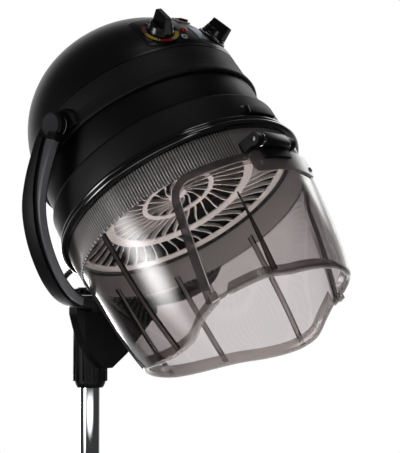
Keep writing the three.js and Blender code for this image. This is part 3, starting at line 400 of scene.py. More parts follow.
# The same sheet doubled: rolled beads, the visor's border and the hinge's plate; the near-black one is
# painted shade, for the ribs' sides and the reeds' valleys.
smoke_bead = smoked_acrylic(
    "smoked_acrylic_bead", "#cfcac9", "#353131", 2.0, haze=0.1, haze_colour="#b5afad", roughness=0.12)
smoke_border = smoked_acrylic("smoked_acrylic_border", "#cfc9c9", "#242122", 1.8, haze=0.25)
smoke_plate = smoked_acrylic(
    "smoked_acrylic_plate", "#cbc2c0", "#2c292a", 1.8, haze=0.5, haze_colour="#8d8582", roughness=0.3)
# Near-black smoked sheet: painted shade, laid along the ribs' sides and in the collar's valleys.
smoke_shade = smoked_acrylic("smoked_acrylic_painted_shade", "#4a4647", "#0c0b0b", 1.0)
# The collar's reeds, which scatter more light than the flat sheet.
smoke_reeds = smoked_acrylic(
    "reeded_smoked_acrylic", "#8d8787", "#0b0a0a", 1.0, haze=0.42, haze_colour="#c6c1bf", roughness=0.15)


# ---------- stand tube and socket ----------
TUBE_R, TUBE_TOP, PLUG_HEAD = 14, 190, 4
RIB_PITCH = 24


def make_stand():
    foot = PLUG_HEAD + 0.3
    tube = revolve([(12, foot), (TUBE_R, foot), (TUBE_R, TUBE_TOP), (12, TUBE_TOP)], 96, 0.4)
    piece("stand_tube", tube, chrome, "stand", ["pole_tube"])


def make_socket():
    foot, top = 118, 222
    body = revolve([
        (14.4, foot), (18.2, foot), (21.2, foot + 6), (24.5, top - 18), (24.5, top), (14.4, top),
    ], 96, 1.2)
    ribs = []
    for angle in range(-76, 284, RIB_PITCH):
        rib = block(-1.6, 1.6, -24.3, -19, foot + 9, top - 8, 0.3)
        rib.transform(Matrix.Rotation(math.radians(angle), 4, "Z"))
        ribs.append(rib)
    piece("socket_body", merged(body, *ribs), satin_abs, "fork", ["pole_socket"], bevel=0.5)


# ---------- fork ----------
ARM_POINTS = [Vector(p) for p in (
    (178.5, -104, 462.5), (186.5, -95, 425), (189.5, -86, 390), (189, -81, 360), (184, -80, 332),
    (175, -81, 304), (158, -80, 276), (131, -71, 256), (96, -55, 244), (48, -36, 236))]
ARM_HALF, ARM_FACE, LIP_FACE, COVER_WIDTH, GROOVE_WIDTH = 16, 4.5, 7.5, 20.5, 7.5


def direction(points, t, step):
    """The direction of the curve through the points, at share t of its length."""
    return (spline(points, min(t + step, 1)) - spline(points, max(t - step, 0))).normalized()


def along_arm(outline_at, start, end, side):
    """A bar that follows the arm; outline_at(t) gives (across, out) offsets at a share of its length."""
    rings = []
    for t in spaced(start, end, 72):
        middle = spline(ARM_POINTS, t)
        along = direction(ARM_POINTS, t, 0.004)
        across = (Vector((0, 1, 0)) - along * along.y).normalized()
        out = across.cross(along)
        if out.x - out.z < 0:
            out = -out
        ring = [middle + across * p.x + out * p.y for p in soften(outline_at(t), 0.9, 2)]
        rings.append([(side * p.x, p.y, p.z) for p in ring])
    return skin(rings)


def cover_edge(t):
    """Where the cover strip ends across the arm: it starts narrow under the pivot disc."""
    full = min(1.0, max(0.0, (t - 0.04) / 0.3))
    return ARM_HALF - COVER_WIDTH * (0.5 + 0.5 * full)


def make_arm(side, tag):
    """One arm of the fork, with its pivot eye, its cover strip and its front edge, painted a lighter grey
    for the light it catches.
    """
    def bar(t):
        lip = cover_edge(t) - GROOVE_WIDTH
        return [(ARM_HALF, ARM_FACE), (lip, ARM_FACE), (lip, LIP_FACE), (-ARM_HALF, LIP_FACE),
                (-ARM_HALF, -ARM_FACE), (ARM_HALF, -ARM_FACE)]

    def cover(t):
        return [(ARM_HALF, LIP_FACE), (cover_edge(t), LIP_FACE), (cover_edge(t), ARM_FACE + 0.3),
                (ARM_HALF, ARM_FACE + 0.3)]

    def front(t):
        lip = cover_edge(t) - GROOVE_WIDTH - 0.6
        proud, sunk, foot = -ARM_HALF - 0.5, -ARM_HALF + 0.3, 2.2 - ARM_FACE
        return [(lip, LIP_FACE + 0.4), (proud, LIP_FACE + 0.4), (proud, foot), (sunk, foot),
                (sunk, LIP_FACE - 0.6), (lip, LIP_FACE - 0.6)]

    eye = revolve([(5.4, 0), (17, 0), (17, 9), (5.4, 9)], 72, 1.0, "X")
    eye.transform(Matrix.Translation((174 if side > 0 else -183, PIVOT.y, PIVOT.z)))
    piece("fork_arm_" + tag, merged(along_arm(bar, 0.03, 1, side), eye), satin_abs, "fork",
          ["yoke_arm_" + tag])
    piece("arm_strip_" + tag, along_arm(cover, 0.055, 0.94, side), charcoal_abs, "fork",
          ["arm_cover_" + tag])
    # The front edge is a lighter grey: painted light on the arm's front faces.
    piece("arm_front_" + tag, along_arm(front, 0.057, 0.9, side), front_lit_abs, "fork")


def make_pivot_cap(side, tag):
    """The round cap over an arm's eye, with a groove round its middle disc."""
    seat = 183.3
    cap = revolve([
        (0, seat + 2.3), (9.3, seat + 2.3), (9.3, seat), (14.8, seat), (14.8, seat + 2.2),
        (14.2, seat + 3.5), (12.4, seat + 3.5), (12.0, seat + 3.1), (0, seat + 3.1)], 72, 0.3, "X")
    if side < 0:
        cap.transform(Matrix.Rotation(math.pi, 4, "Z"))
    cap.transform(Matrix.Translation(PIVOT))
    piece("pivot_disc_" + tag, cap, disc_abs, "fork", ["pivot_cap_" + tag])


# ---------- link cable ----------
CABLE_R, RIB_DEPTH = 4, 1.1
GLAND_ANGLE, GLAND_HEIGHT, GLAND_START = -170, 24, 167.5


def make_cable():
    """The ribbed conduit from the hood's gland to the clamp on the hub."""
    def on_hood(r):
        return PART.inverted() @ HOOD @ around(r, GLAND_ANGLE, GLAND_HEIGHT)

    points = [on_hood(GLAND_START + 12.3), on_hood(GLAND_START + 26)] + [Vector(p) for p in (
        (-36, 16, 271), (-36, 16, 260), (-33, 6, 253.5), (-26, 0, 253), (-18.6, 0, 253))]
    steps, sides = 112, 16
    rings = []
    for i in range(steps + 1):
        t = i / steps
        middle = spline(points, t)
        along = direction(points, t, 0.01)
        side = along.cross(Vector((0.2, 1, 0.1))).normalized()
        up = side.cross(along)
        r = CABLE_R - (RIB_DEPTH if i % 4 in (0, 1) else 0)
        rings.append([middle + side * (r * math.cos(2 * math.pi * k / sides))
                      + up * (r * math.sin(2 * math.pi * k / sides)) for k in range(sides)])
    cable = piece("link_conduit", skin(rings), conduit_pvc, None, sharp=60)
    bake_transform(cable)
    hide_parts("link_cable")
    outline = [(0, 0), (8.2, 0), (8.2, 3)]
    for k in range(4):
        z = 3.6 + 2.1 * k
        outline += [(6.6 - 0.3 * k, z), (7.2 - 0.4 * k, z + 0.6), (7.2 - 0.4 * k, z + 1.5)]
    outline += [(4.6, 12), (0, 12)]
    gland = revolve(outline, 48, 0.2)
    turn = (Matrix.Translation((0, 0, GLAND_HEIGHT)) @ Matrix.Rotation(math.radians(GLAND_ANGLE), 4, "Z")
            @ Matrix.Translation((0, -GLAND_START, 0)) @ Matrix.Rotation(math.pi / 2, 4, "X"))
    gland.transform(turn)
    piece("conduit_gland", gland, nylon, "hood", ["cable_gland"])


# ---------- hood shells ----------
DOME_BASE, DOME_R, DOME_TOP, DOME_POWER, CAP_SEAM = 107, 158.4, 268, 2.3, 141


def dome_radius(z):
    u = min(1, max(0, (z - DOME_BASE) / (DOME_TOP - DOME_BASE)))
    return DOME_R * (1 - u ** DOME_POWER) ** (1 / DOME_POWER)


def dome_curve(start, inset, steps):
    """Points of the dome's face from a height up to the axis."""
    rise = DOME_TOP - DOME_BASE - inset
    first = math.asin(((start - DOME_BASE) / rise) ** (DOME_POWER / 2))
    out = []
    for i in range(steps + 1):
        s = first + (math.pi / 2 - first) * i / steps
        r = (DOME_R - inset) * max(math.cos(s), 0) ** (2 / DOME_POWER)
        out.append((0 if i == steps else r, DOME_BASE + rise * math.sin(s) ** (2 / DOME_POWER)))
    return out


def arc(r, z, radius, start, end, steps=8):
    """Points of a circular arc in an outline, angles from the outward direction."""
    return [(r + radius * math.cos(math.radians(angle)), z + radius * math.sin(math.radians(angle)))
            for angle in spaced(start, end, steps)]


def make_shells():
    ring = ([(158, -4.5)] + arc(171.1, -0.2, 4.3, -90, 62) + arc(168.4, 8, 4.0, -32, 90)
            + [(163, 12), (163, -1.2), (158, -1.2)])
    piece("rim_mould", revolve(ring, 220, 0), polished_abs, "hood", ["rim_ring"])
    lower = [(163.5, 12.3), (167, 12.3), (165.8, 49), (163, 53), (152, 53), (152, 50), (161.5, 50)]
    piece("lower_shell", revolve(lower, 200, 1.2), grained_abs, "hood", ["lower_band"])
    middle = [(155.5, 55.6), (158.5, 55.6), (157.5, 94.7), (154.5, 94.7)]
    piece("middle_shell", revolve(middle, 200, 0.8), satin_abs, "hood", ["middle_band"])
    cap = [(155.4, 95), (161.0, 95), (162.3, 97.2), (161.6, 101), (159.7, 107)]
    cap += [(dome_radius(z), z) for z in (116, 124, 132, 140.2)]
    cap += [(dome_radius(140.7) - 0.6, 140.7), (dome_radius(140.7) - 3, 140.7), (155.4, 115)]
    piece("cap_shell", revolve(cap, 200, 0.5), grained_abs, "hood", ["cap_band"])
    outer = dome_curve(CAP_SEAM + 0.2, 0, 44)
    bead = [(dome_radius(CAP_SEAM) - 0.9, CAP_SEAM), (dome_radius(CAP_SEAM) + 0.3, CAP_SEAM + 0.1),
            (dome_radius(CAP_SEAM) + 0.3, CAP_SEAM + 1.6)]
    inner = dome_curve(CAP_SEAM, 3, 24)
    piece("dome_shell", revolve(bead + outer[1:] + inner[::-1], 200, 0), gloss_abs, "hood",
          ["dome"])
    for side, tag in ((-1, "left"), (1, "right")):
        make_pivot_pad(side, tag)


def make_pivot_pad(side, tag):
    """The arched pad on the hood's side that carries the pivot."""
    arch_r, foot = 24, -16
    outline = arc(0, 0, arch_r, 0, 180, 24) + [(-arch_r, foot), (arch_r, foot)]
    rings = []
    for x, grow in ((148, 1.0), (158, 0.97), (164, 0.9), (167, 0.82), (168.2, 0.72)):
        rings.append([(side * x, y * grow, PIVOT_RISE + z * grow) for y, z in outline])
    piece("pivot_pad_" + tag, skin(rings), satin_abs, "hood", bevel=0.8, sharp=25)


# ---------- controls ----------
PANEL_FACE = 1.7
# Each knob's angle round the hood, height, dial radius, grip height and radius.
KNOBS = {"timer": (-25.5, 171, 25, 15, 17.5), "heat": (14.5, 175, 20.6, 11.5, 18.5)}


def dome_plate(angles, heights, off, thick, corner, columns=40, rows=24):
    """A plate that follows the dome between two angles and heights, with rounded corners.
    Its edges slope down to the dome."""
    def rim(share):
        over = max(0, (abs(share) - 1 + corner) / corner)
        return 1 - 0.9 * corner * (1 - math.sqrt(max(0, 1 - over ** 2)))

    def point(u, v, lift):
        z = (heights[0] + heights[1]) / 2 + v * rim(u) * (heights[1] - heights[0]) / 2
        angle = (angles[0] + angles[1]) / 2 + u * (angles[1] - angles[0]) / 2
        inward = min(1, (1 - abs(u)) * 8, (1 - abs(v)) * 6)
        lift = 0.05 + (lift - 0.05) * (1 - (1 - inward) ** 2)
        slope = (dome_radius(z + 1) - dome_radius(z - 1)) / 2
        length = math.hypot(1, slope)
        return around(dome_radius(z) + lift / length, angle, z - lift * slope / length)

    rings = []
    for u in spaced(-1, 1, columns):
        rings.append([point(u, v, off + thick) for v in spaced(-1, 1, rows)]
                     + [point(u, v, off) for v in spaced(1, -1, rows)])
    return skin(rings)


def arc_plate(r0, r1, start, end, z0, z1, steps=14):
    """A flat piece of a ring between two angles, in degrees."""
    rings = []
    for a in (math.radians(angle) for angle in spaced(start, end, steps)):
        rings.append([(r * math.cos(a), r * math.sin(a), z)
                      for r, z in ((r0, z0), (r1, z0), (r1, z1), (r0, z1))])
    return skin(rings)


def make_dial(tag, place, dial_r, face):
    """The scale under a knob: a disc with printed arcs and ticks."""
    disc = revolve([(3.8, face), (dial_r, face), (dial_r, face + 1), (3.8, face + 1)], 96, 0.3)
    piece(tag + "_scale", disc, satin_abs, "hood", [tag + "_dial"], place)
    ink = dial_r * 0.76, dial_r - 0.6
    levels = face + 1.02, face + 1.16
    for colour, finish, spans in (("brown", print_brown, [(132, 178)]),
                                  ("yellow", print_yellow, [(186, 232), (298, 345)]),
                                  ("red", print_red, [(243, 288)])):
        arcs = [arc_plate(*ink, start, end, *levels) for start, end in spans]
        piece(tag + "_scale_" + colour, merged(*arcs), finish, "hood", (), place)
    ticks = [arc_plate(*ink, angle - 1.3, angle + 1.3, *levels, 2)
             for angle in (182, 237.5, 293, 20, 50, 80, 110)]
    piece(tag + "_scale_ticks", merged(*ticks), print_white, "hood", (), place)


def make_knob(tag, angle, height, dial_r, grip, r):
    """A pointer knob on its dial: base, grip blade, shaft, the pointer's grey inlay, and a grey strip
    down the blade's front end that is a painted highlight.
    """
    place = placed_on_dome(angle, height)
    face = PANEL_FACE + 0.3
    make_dial(tag, place, dial_r, face)
    foot = face + 1.3
    top = foot + 11
    crest = top + grip
    base = revolve([(0, foot), (r, foot), (r, foot + 2.4), (r - 0.8, foot + 3), (r - 2.2, top - 1),
                    (r - 3, top), (0, top)], 96, 0.5)
    blade = knob_blade(r, foot + 2, crest)
    shaft = revolve([(0, -5.5), (3, -5.5), (3, foot + 1), (0, foot + 1)], 24, 0.2)
    piece(tag + "_pointer_knob", merged(base, blade, shaft), phenolic, tag + "_knob",
          [tag + "_knob"], place, bevel=0.5)
    inlay = block(-1.2, 1.2, 3.4 - r, r - 6, crest - 0.1, crest + 0.2)
    # The nose strip down the blade's front end is a painted highlight.
    nose = skin([
        [(-half, y - 0.3, z), (half, y - 0.3, z), (half, y + 0.3, z), (-half, y + 0.3, z)]
        for half, y, z in ((5.2, 1.5 - r, foot + 4), (4.2, 2.1 - r, (foot + crest) / 2),
                           (3.2, 2.7 - r, crest - 0.6))])
    piece(tag + "_pointer_and_highlight", merged(inlay, nose), pointer_and_glint_grey, tag + "_knob", (),
          place)


def knob_blade(r, foot, top):
    """The grip across a knob: its lower end swells out to the base and catches the light."""
    rings = []
    for u in spaced(0, 1, 12):
        z = foot + (top - foot) * u
        front, back = 1.5 - r + 1.2 * u, r - 2 - 2.5 * u
        half = 5.6 - 1.6 * u
        nose = half * (1.25 - 0.25 * u)
        rings.append([(-nose, front, z), (nose, front, z), (half, front + 7, z), (half, back, z),
                      (-half, back, z), (-half, front + 7, z)])
    return skin(rings)


def make_controls():
    """The fascia on the dome with its knobs, rocker, lamps and rating plate."""
    fascia = dome_plate((-36.5, 36.5), (146, 216), 0.3, 1.4, 0.25)
    piece("control_fascia", fascia, gloss_abs, "hood", ["control_panel"], sharp=40)
    for tag, (angle, height, dial_r, grip, r) in KNOBS.items():
        pad = revolve([(0, -4), (dial_r + 1, -4), (dial_r + 0.4, PANEL_FACE), (0, PANEL_FACE)], 96, 0.3)
        piece(tag + "_seat", pad, satin_abs, "hood", (), placed_on_dome(angle, height))
        make_knob(tag, angle, height, dial_r, grip, r)
    make_rocker()
    make_lamps()
    plate = dome_plate((-6, 3), (152, 182), 1.9, 0.6, 0.15, 10, 16)
    piece("rating_foil", plate, foil, "hood", ["label_plate"], sharp=40)


def make_rocker():
    """The rocker switch: a red key in a white frame."""
    place = placed_on_dome(0, 204)
    bars = ((-11.5, -9.5, -7.5, 7.5), (9.5, 11.5, -7.5, 7.5),
            (-11.5, 11.5, -7.5, -5.5), (-11.5, 11.5, 5.5, 7.5))
    bezel = merged(*(block(*bar, 1.6, 3.6, 0.2) for bar in bars))
    piece("rocker_bezel", bezel, print_white, "hood", ["rocker_frame"], place, bevel=0.3)
    key = skin([[(x, y, z) for y, z in (
        (-4.7, 3.1), (4.7, 3.1), (4.7, 4.2), (2.4, 4.7), (0, 5.2), (-2.4, 6.0), (-4.7, 7.0))]
        for x in (-8.7, 8.7)])
    piece("rocker_key", key, rocker_red, "rocker", ["rocker_switch"], place, bevel=0.4)


def make_lamps():
    """The red pilot lamp, and the white ring of the heat lamp with its dark lens."""
    lens = revolve([(0, 1.7), (5, 1.7), (5, 2.6), (3.8, 3.8), (2, 4.4), (0, 4.6)], 48, 0.4)
    piece("pilot_lens", lens, lamp_red, "hood", ["pilot_lamp"], placed_on_dome(-11, 172))
    place = placed_on_dome(-14.8, 156.5)
    ring = revolve([(2.2, 1.8), (4.6, 1.8), (4.6, 2.8), (4.0, 3.2), (2.8, 3.2), (2.2, 2.6)], 48, 0.2)
    piece("heat_lamp_ring", ring, print_white, "hood", ["heat_lamp"], place)
    pupil = revolve([(0, 1.8), (2.1, 1.8), (2.1, 2.4), (1.2, 2.8), (0, 2.9)], 32, 0.2)
    piece("heat_lamp_lens", pupil, nylon, "hood", (), place)


# ---------- grille ----------
GRILLE_R, GRILLE_THICK, VANE_WIDTH = 161, 2.6, 2.0


def grille_rise(r):
    """Height of the grille's domed face at a radius."""
    return -0.9 + 15 * (1 - (r / GRILLE_R) ** 1.5)


def grille_band(r0, r1, steps=6):
    """A round bar of the grille between two radii."""
    low = [(r, grille_rise(r)) for r in spaced(r0, r1, steps)]
    return revolve(low + [(r, z + GRILLE_THICK) for r, z in low[::-1]], 200, 0.5)


def grille_vanes(r0, r1, count, sweep, height, steps=8):
    """Curved blades between two bars; sweep is how far each turns on its way out, in degrees."""
    out = []
    for k in range(count):
        rings = []
        for u in spaced(0, 1, steps):
            r = r0 + (r1 - r0) * u
            a = math.radians(360 * k / count + sweep * math.sin(u * math.pi / 2))
            half = VANE_WIDTH / 2 * (1.5 - 0.8 * math.sin(math.pi * u))
            side = Vector((math.cos(a), math.sin(a), 0)) * half
            at = Vector((r * math.sin(a), -r * math.cos(a), grille_rise(r)))
            tall = Vector((0, 0, height))
            rings.append([at - side, at + side, at + side * 0.6 + tall, at - side * 0.6 + tall])
        out.append(skin(rings))
    return out


def make_grille():
    """The inner grille: a hub and three bars, with a ring of blades inside each bar."""
    hub_r = 13
    centre, edge = grille_rise(0), grille_rise(hub_r)
    hub = revolve([(0, centre), (hub_r, edge), (hub_r, edge + GRILLE_THICK), (0, centre + GRILLE_THICK)],
                  64, 0.5)
    net = [hub, grille_band(46, 53), grille_band(97, 109), grille_band(150, GRILLE_R)]
    net += grille_vanes(11, 47, 16, 42, 5.0)
    net += grille_vanes(52, 98, 34, 12, 6.0)
    net += grille_vanes(108, 151, 52, -9, 5.0)
    piece("air_grille", merged(*net), grille_pp, "hood", ["inner_grille"], sharp=50)


# ---------- smoked skirt and visor ----------
# (height, radius) of the wall and (angle, height) of the skirt's foot.
SKIRT_RADII = [(-222, 136), (-195, 142.5), (-160, 150.3), (-120, 156.2), (-80, 160.2),
               (-40, 163.3), (0, 166)]
SKIRT_FEET = [(65, -198), (77, -207), (88, -219), (98, -219.5), (108, -215), (122, -204), (136, -192),
              (150, -186), (165, -184), (180, -184)]
SKIRT_WALL, COLLAR_TOP, COLLAR_FOOT = 2.6, -4.8, -42
WINDOW_TOP, WINDOW_ANGLE, WINDOW_FOOT_ANGLE, WINDOW_CORNER = -55, 58, 65, 22
VISOR_OFF, VISOR_WALL, VISOR_TOP, VISOR_FOOT, VISOR_SAG = 5.0, 2.8, -43, -198.5, 6
VISOR_ANGLE, VISOR_FOOT_ANGLE, VISOR_CORNER = 60, 70.5, 28
# Millimetres along the wall for each degree round it, at the window's and the visor's top.
WINDOW_ARC, VISOR_ARC = 2.8, 2.88
# The bead along a foot: the radius it rolls in and its height.
ROLL_R, ROLL_TALL = 4.6, 16


def wall_radius(z):
    return read_table(SKIRT_RADII, z)


def wall_column(angle_at, top, foot, offset, wall, rows=16):
    """One upright section of a wall, down to where its foot starts to turn in."""
    levels = spaced(top, foot, rows)
    outer = [around(wall_radius(z) + offset, angle_at(z), z) for z in levels]
    inner = [around(wall_radius(z) + offset - wall, angle_at(z), z) for z in levels[::-1]]
    return outer + inner


def bead_column(angle_at, foot, offset, wall, curl):
    """One section of the hollow bead along a wall's foot: the sheet turns in and up again.
    A curl of 1 is the full bead and 0 is the plain sheet."""
    bend = foot + ROLL_R
    edge = wall_radius(bend) + offset
    turn = spaced(0, math.pi, 8)
    small = ROLL_R - wall
    lip = foot + ROLL_TALL
    curled = [(edge, bend + 0.2)]
    curled += [(edge - ROLL_R + ROLL_R * math.cos(a), bend - ROLL_R * math.sin(a)) for a in turn]
    curled += [(edge - 2 * ROLL_R, lip - 1), (edge - 2 * ROLL_R + 0.7, lip),
               (edge - 2 * ROLL_R + wall - 0.7, lip), (edge - 2 * ROLL_R + wall, lip - 1)]
    curled += [(edge - ROLL_R + small * math.cos(a), bend - small * math.sin(a)) for a in turn[::-1]]
    curled += [(edge - wall, bend + 0.2)]
    down = len(curled) // 2
    up = len(curled) - down
    plain = [(edge, z) for z in spaced(bend + 0.2, foot, down - 1)]
    plain += [(edge - wall, z) for z in spaced(foot, bend + 0.2, up - 1)]
    points = [(a[0] + (b[0] - a[0]) * curl, a[1] + (b[1] - a[1]) * curl)
              for a, b in zip(plain, curled)]
    return [around(r, angle_at(z), z) for r, z in points]


def corner_rows(radius, limit_angle, mm_per_degree):
    """Angles and drops of a rounded corner, from its inner end to the wall's edge."""
    return [(limit_angle - radius * (1 - math.sin(turn)) / mm_per_degree, radius * (1 - math.cos(turn)))
            for turn in spaced(0, math.pi / 2, 8)]


def mirrored(columns):
    """The same columns on the other side of the hood's front."""
    return [(-angle, *rest) for angle, *rest in columns[::-1]]


def make_skirt():
    """The wall, with a window in front and the rolled bead along the rest of its foot."""
    widen = WINDOW_FOOT_ANGLE - WINDOW_ANGLE
    lean = widen / (COLLAR_TOP + 198)

    def leaning(angle, share=1.0):
        return lambda z: angle + math.copysign(lean * share * (COLLAR_TOP - z), angle)

    # Each column: its angle at the top, how much of the window's lean it has, its foot and its curl.
    right = []
    for foot_angle in spaced(WINDOW_FOOT_ANGLE, 180, 77):
        share = max(0.0, (77 - foot_angle) / (77 - WINDOW_FOOT_ANGLE))
        foot = read_table(SKIRT_FEET, min(foot_angle, 179.99))
        right.append((foot_angle - widen * share, share, foot, 1.0))
    window = [(angle, 0.0, WINDOW_TOP, 0.0) for angle in spaced(-45, 45, 36)]
    corner = [(angle, max(0, (angle - 45) / 13), WINDOW_TOP - drop, 0.0)
              for angle, drop in corner_rows(WINDOW_CORNER, WINDOW_ANGLE, WINDOW_ARC)]
    columns = mirrored(right[:-1]) + mirrored(corner) + window[1:-1] + corner + right
    rings = [wall_column(leaning(angle, share), COLLAR_FOOT - 0.3, foot + curl * ROLL_R, 0, SKIRT_WALL)
             for angle, share, foot, curl in columns]
    piece("skirt_wall", skin(rings, along_closed=True), smoke_skirt, "hood", ["rear_skirt"],
          sharp=40)
    bead = [bead_column(leaning(angle, share), foot, 0, SKIRT_WALL, 1)
            for angle, share, foot, curl in right[:-1] + mirrored(right)]
    piece("skirt_bead", skin(bead), smoke_bead, "hood", sharp=40)


def reeded(angle):
    """Whether the collar has reeds there: it is plain behind the hinge."""
    return not 336 < (angle if angle > 180 else angle + 360) < 366


def bar_on_wall(angle, heights, lifts, half_angle):
    """A small upright bar between two heights, from one lift off the wall to another."""
    return skin([[around(radius + lift, angle + turn, z) for lift, turn in (
        (lifts[0], -half_angle), (lifts[0], half_angle), (lifts[1], half_angle), (lifts[1], -half_angle))]
        for z, radius in heights])


def make_collar():
    """The reeded band under the rim ring: round reeds about 3.8 mm apart, with dark strips painted into
    the valleys between them as shade, and light grey teeth along its foot painted as glints."""
    reeds, samples, swell = 272, 6, 2.2
    fade = [(COLLAR_TOP, 0.4), (COLLAR_TOP - 1, 1), (COLLAR_FOOT + 1.5, 1), (COLLAR_FOOT, 0.5)]
    rings = []
    for i in range(reeds * samples):
        angle = 360 * i / (reeds * samples)
        proud = swell * abs(math.sin(math.pi * i / samples)) ** 0.8 if reeded(angle) else 0.0
        outer = [around(wall_radius(z) - 0.4 + proud * share, angle, z) for z, share in fade]
        inner = [around(wall_radius(z) - SKIRT_WALL, angle, z) for z, share in fade[::-1]]
        rings.append(outer + inner)
    piece("skirt_collar", skin(rings, along_closed=True), smoke_reeds, "hood",
          sharp=50)
    tall = [(z, wall_radius(z)) for z in (COLLAR_TOP, COLLAR_FOOT)]
    foot = [(z, wall_radius(COLLAR_FOOT)) for z in (COLLAR_FOOT + 2.5, COLLAR_FOOT - 1.2)]
    valleys, teeth = [], []
    for k in range(reeds):
        angle = 360 * k / reeds
        if reeded(angle):
            # A dark strip in each valley: painted shade between the reeds.
            valleys.append(bar_on_wall(angle, tall, (0.15, 0.45), 0.22))
            if k % 2:
                # Light grey teeth at every other reed's foot: painted glints.
                teeth.append(bar_on_wall(angle + 0.66, foot, (0.2, 1.7), 0.3))
    piece("collar_valley_shade", merged(*valleys), smoke_shade, "hood")
    piece("collar_glint_teeth", merged(*teeth), edge_glint, "hood")


def wall_rib(angle_at, top, foot, face, widths, proud):
    """An upright rib on a wall from its top to its foot; face gives the radius that it stands on
    and widths its width at the top and at the foot."""
    rings = []
    for z, width in zip(spaced(top, foot, 24), spaced(*widths, 24)):
        r, a = face(z), angle_at(z)
        spread = math.degrees(width / 2 / r)
        rings.append([around(r, a - spread, z), around(r, a + spread, z),
                      around(r + proud, a + 0.9 * spread, z), around(r + proud, a - 0.9 * spread, z)])
    return skin(rings)


def hollow_rib(angle, top, foot, face, widths, proud):
    """A clear rib's middle, and two dark strips on either side of it: painted shade for how dark its
    sides look.
    """
    edge = 1.3

    def moved(side):
        return lambda z: angle + side * math.degrees(
            (widths[0] + (widths[1] - widths[0]) * (top - z) / (top - foot)) / 2 / face(z))

    middle = wall_rib(lambda z: angle, top, foot, face, widths, proud)
    edges = [wall_rib(moved(side), top, foot, face, (min(edge, widths[0]), edge), 1.1 * proud)
             for side in (-1, 1)]
    return middle, edges


def make_ribs():
    """Ribs inside the skirt, and two that widen downwards inside the visor."""
    def inside_skirt(z):
        return wall_radius(z) - SKIRT_WALL - 0.1

    def inside_visor(z):
        return wall_radius(z) + VISOR_OFF - VISOR_WALL - 0.1

    skirt = []
    for angle in (-143, -99, 99, 143, 180):
        foot = read_table(SKIRT_FEET, min(abs(angle), 179.9)) + ROLL_R
        skirt.append(hollow_rib(angle, -30, foot, inside_skirt, (6.5, 6.0), -2.4))
    visor = [hollow_rib(angle, -88, VISOR_FOOT + ROLL_R, inside_visor, (0.6, 7.0), -1.8)
             for angle in (-34, 34)]
    for name, body, ribs in (("skirt", "hood", skirt), ("visor", "visor", visor)):
        middles = [middle for middle, edges in ribs]
        edges = [edge for middle, pair in ribs for edge in pair]
        piece(name + "_ribs", merged(*middles), smoke_plate, body)
        # The dark strips paint the shade along the ribs' sides.
        piece(name + "_rib_shade", merged(*edges), smoke_shade, body)


def visor_foot(angle):
    """Height of the visor's foot: it hangs a little lower in the middle."""
    share = min(1.0, max(0.0, (36 - abs(angle)) / 16))
    return VISOR_FOOT - VISOR_SAG * share * share * (3 - 2 * share)


def fanned(angle):
    """The visor's columns fan out towards its foot."""
    spread = (VISOR_FOOT_ANGLE / VISOR_ANGLE - 1) / (VISOR_TOP - VISOR_FOOT)
    return lambda z: angle * (1 + spread * (VISOR_TOP - z))


def make_visor():
    """The visor's wall, the bead along its foot and the strips round its border."""
    corner = corner_rows(VISOR_CORNER, VISOR_ANGLE, VISOR_ARC)
    inner = [(corner[0][0] * i / 30, 0.0) for i in range(-29, 30)]
    rings = []
    for angle, drop in mirrored(corner) + inner + corner:
        foot = visor_foot(angle) + ROLL_R
        rings.append(wall_column(fanned(angle), VISOR_TOP - drop, foot, VISOR_OFF, VISOR_WALL))
    piece("visor_wall", skin(rings), smoke, "visor", ["front_visor"], sharp=40)
    bead = []
    for angle in spaced(-VISOR_ANGLE, VISOR_ANGLE, 120):
        # The bead ends before it would meet the skirt's edge.
        curl = min(1.0, max(0.0, (60.5 - abs(angle) * VISOR_FOOT_ANGLE / VISOR_ANGLE) / 2.5))
        bead.append(bead_column(fanned(angle), visor_foot(angle), VISOR_OFF, VISOR_WALL, curl))
    piece("visor_bead", skin(bead), smoke_bead, "visor", sharp=40)
    # The border's inner line is light grey: a painted highlight along its edge.
    for name, inset, width, proud, finish in (("border", 0.6, 9.5, 0.6, smoke_border),
                                              ("border_highlight", 10.2, 0.8, 0.8, edge_glint),
                                              ("border_edge", 0.1, 1.0, 0.4, smoke_border)):
        piece("visor_" + name, visor_strip(inset, width, proud), finish, "visor",
              sharp=40)


def visor_strip(inset, width, proud):
    """A strip round the visor's sides and top, set in from its edge."""
    corner_z = VISOR_TOP - VISOR_CORNER
    foot = VISOR_FOOT + 2
    across = VISOR_ANGLE - VISOR_CORNER / VISOR_ARC
    backs = (inset, inset + width)
    half = [[(VISOR_ANGLE - back / VISOR_ARC, z) for back in backs]
            for z in spaced(foot, corner_z, 24)[:-1]]
    half += [[(across + (VISOR_CORNER - back) * math.cos(turn) / VISOR_ARC,
               corner_z + (VISOR_CORNER - back) * math.sin(turn)) for back in backs]
             for turn in spaced(0, math.pi / 2, 12)]
    top = [[(angle, VISOR_TOP - back) for back in backs] for angle in spaced(across, -across, 40)[1:-1]]
    rings = []
    for row in half + top + [[(-angle, z) for angle, z in row] for row in half[::-1]]:
        rings.append([around(wall_radius(z) + VISOR_OFF + lift, fanned(angle)(z), z)
                      for lift, ends in ((0.1, row), (0.1 + proud, row[::-1])) for angle, z in ends])
    return skin(rings)


# ---------- visor hinge ----------
HINGE_HEIGHT, HINGE_R = -35, 8.5
HINGE_AXIS = wall_radius(HINGE_HEIGHT) + HINGE_R + 1.5


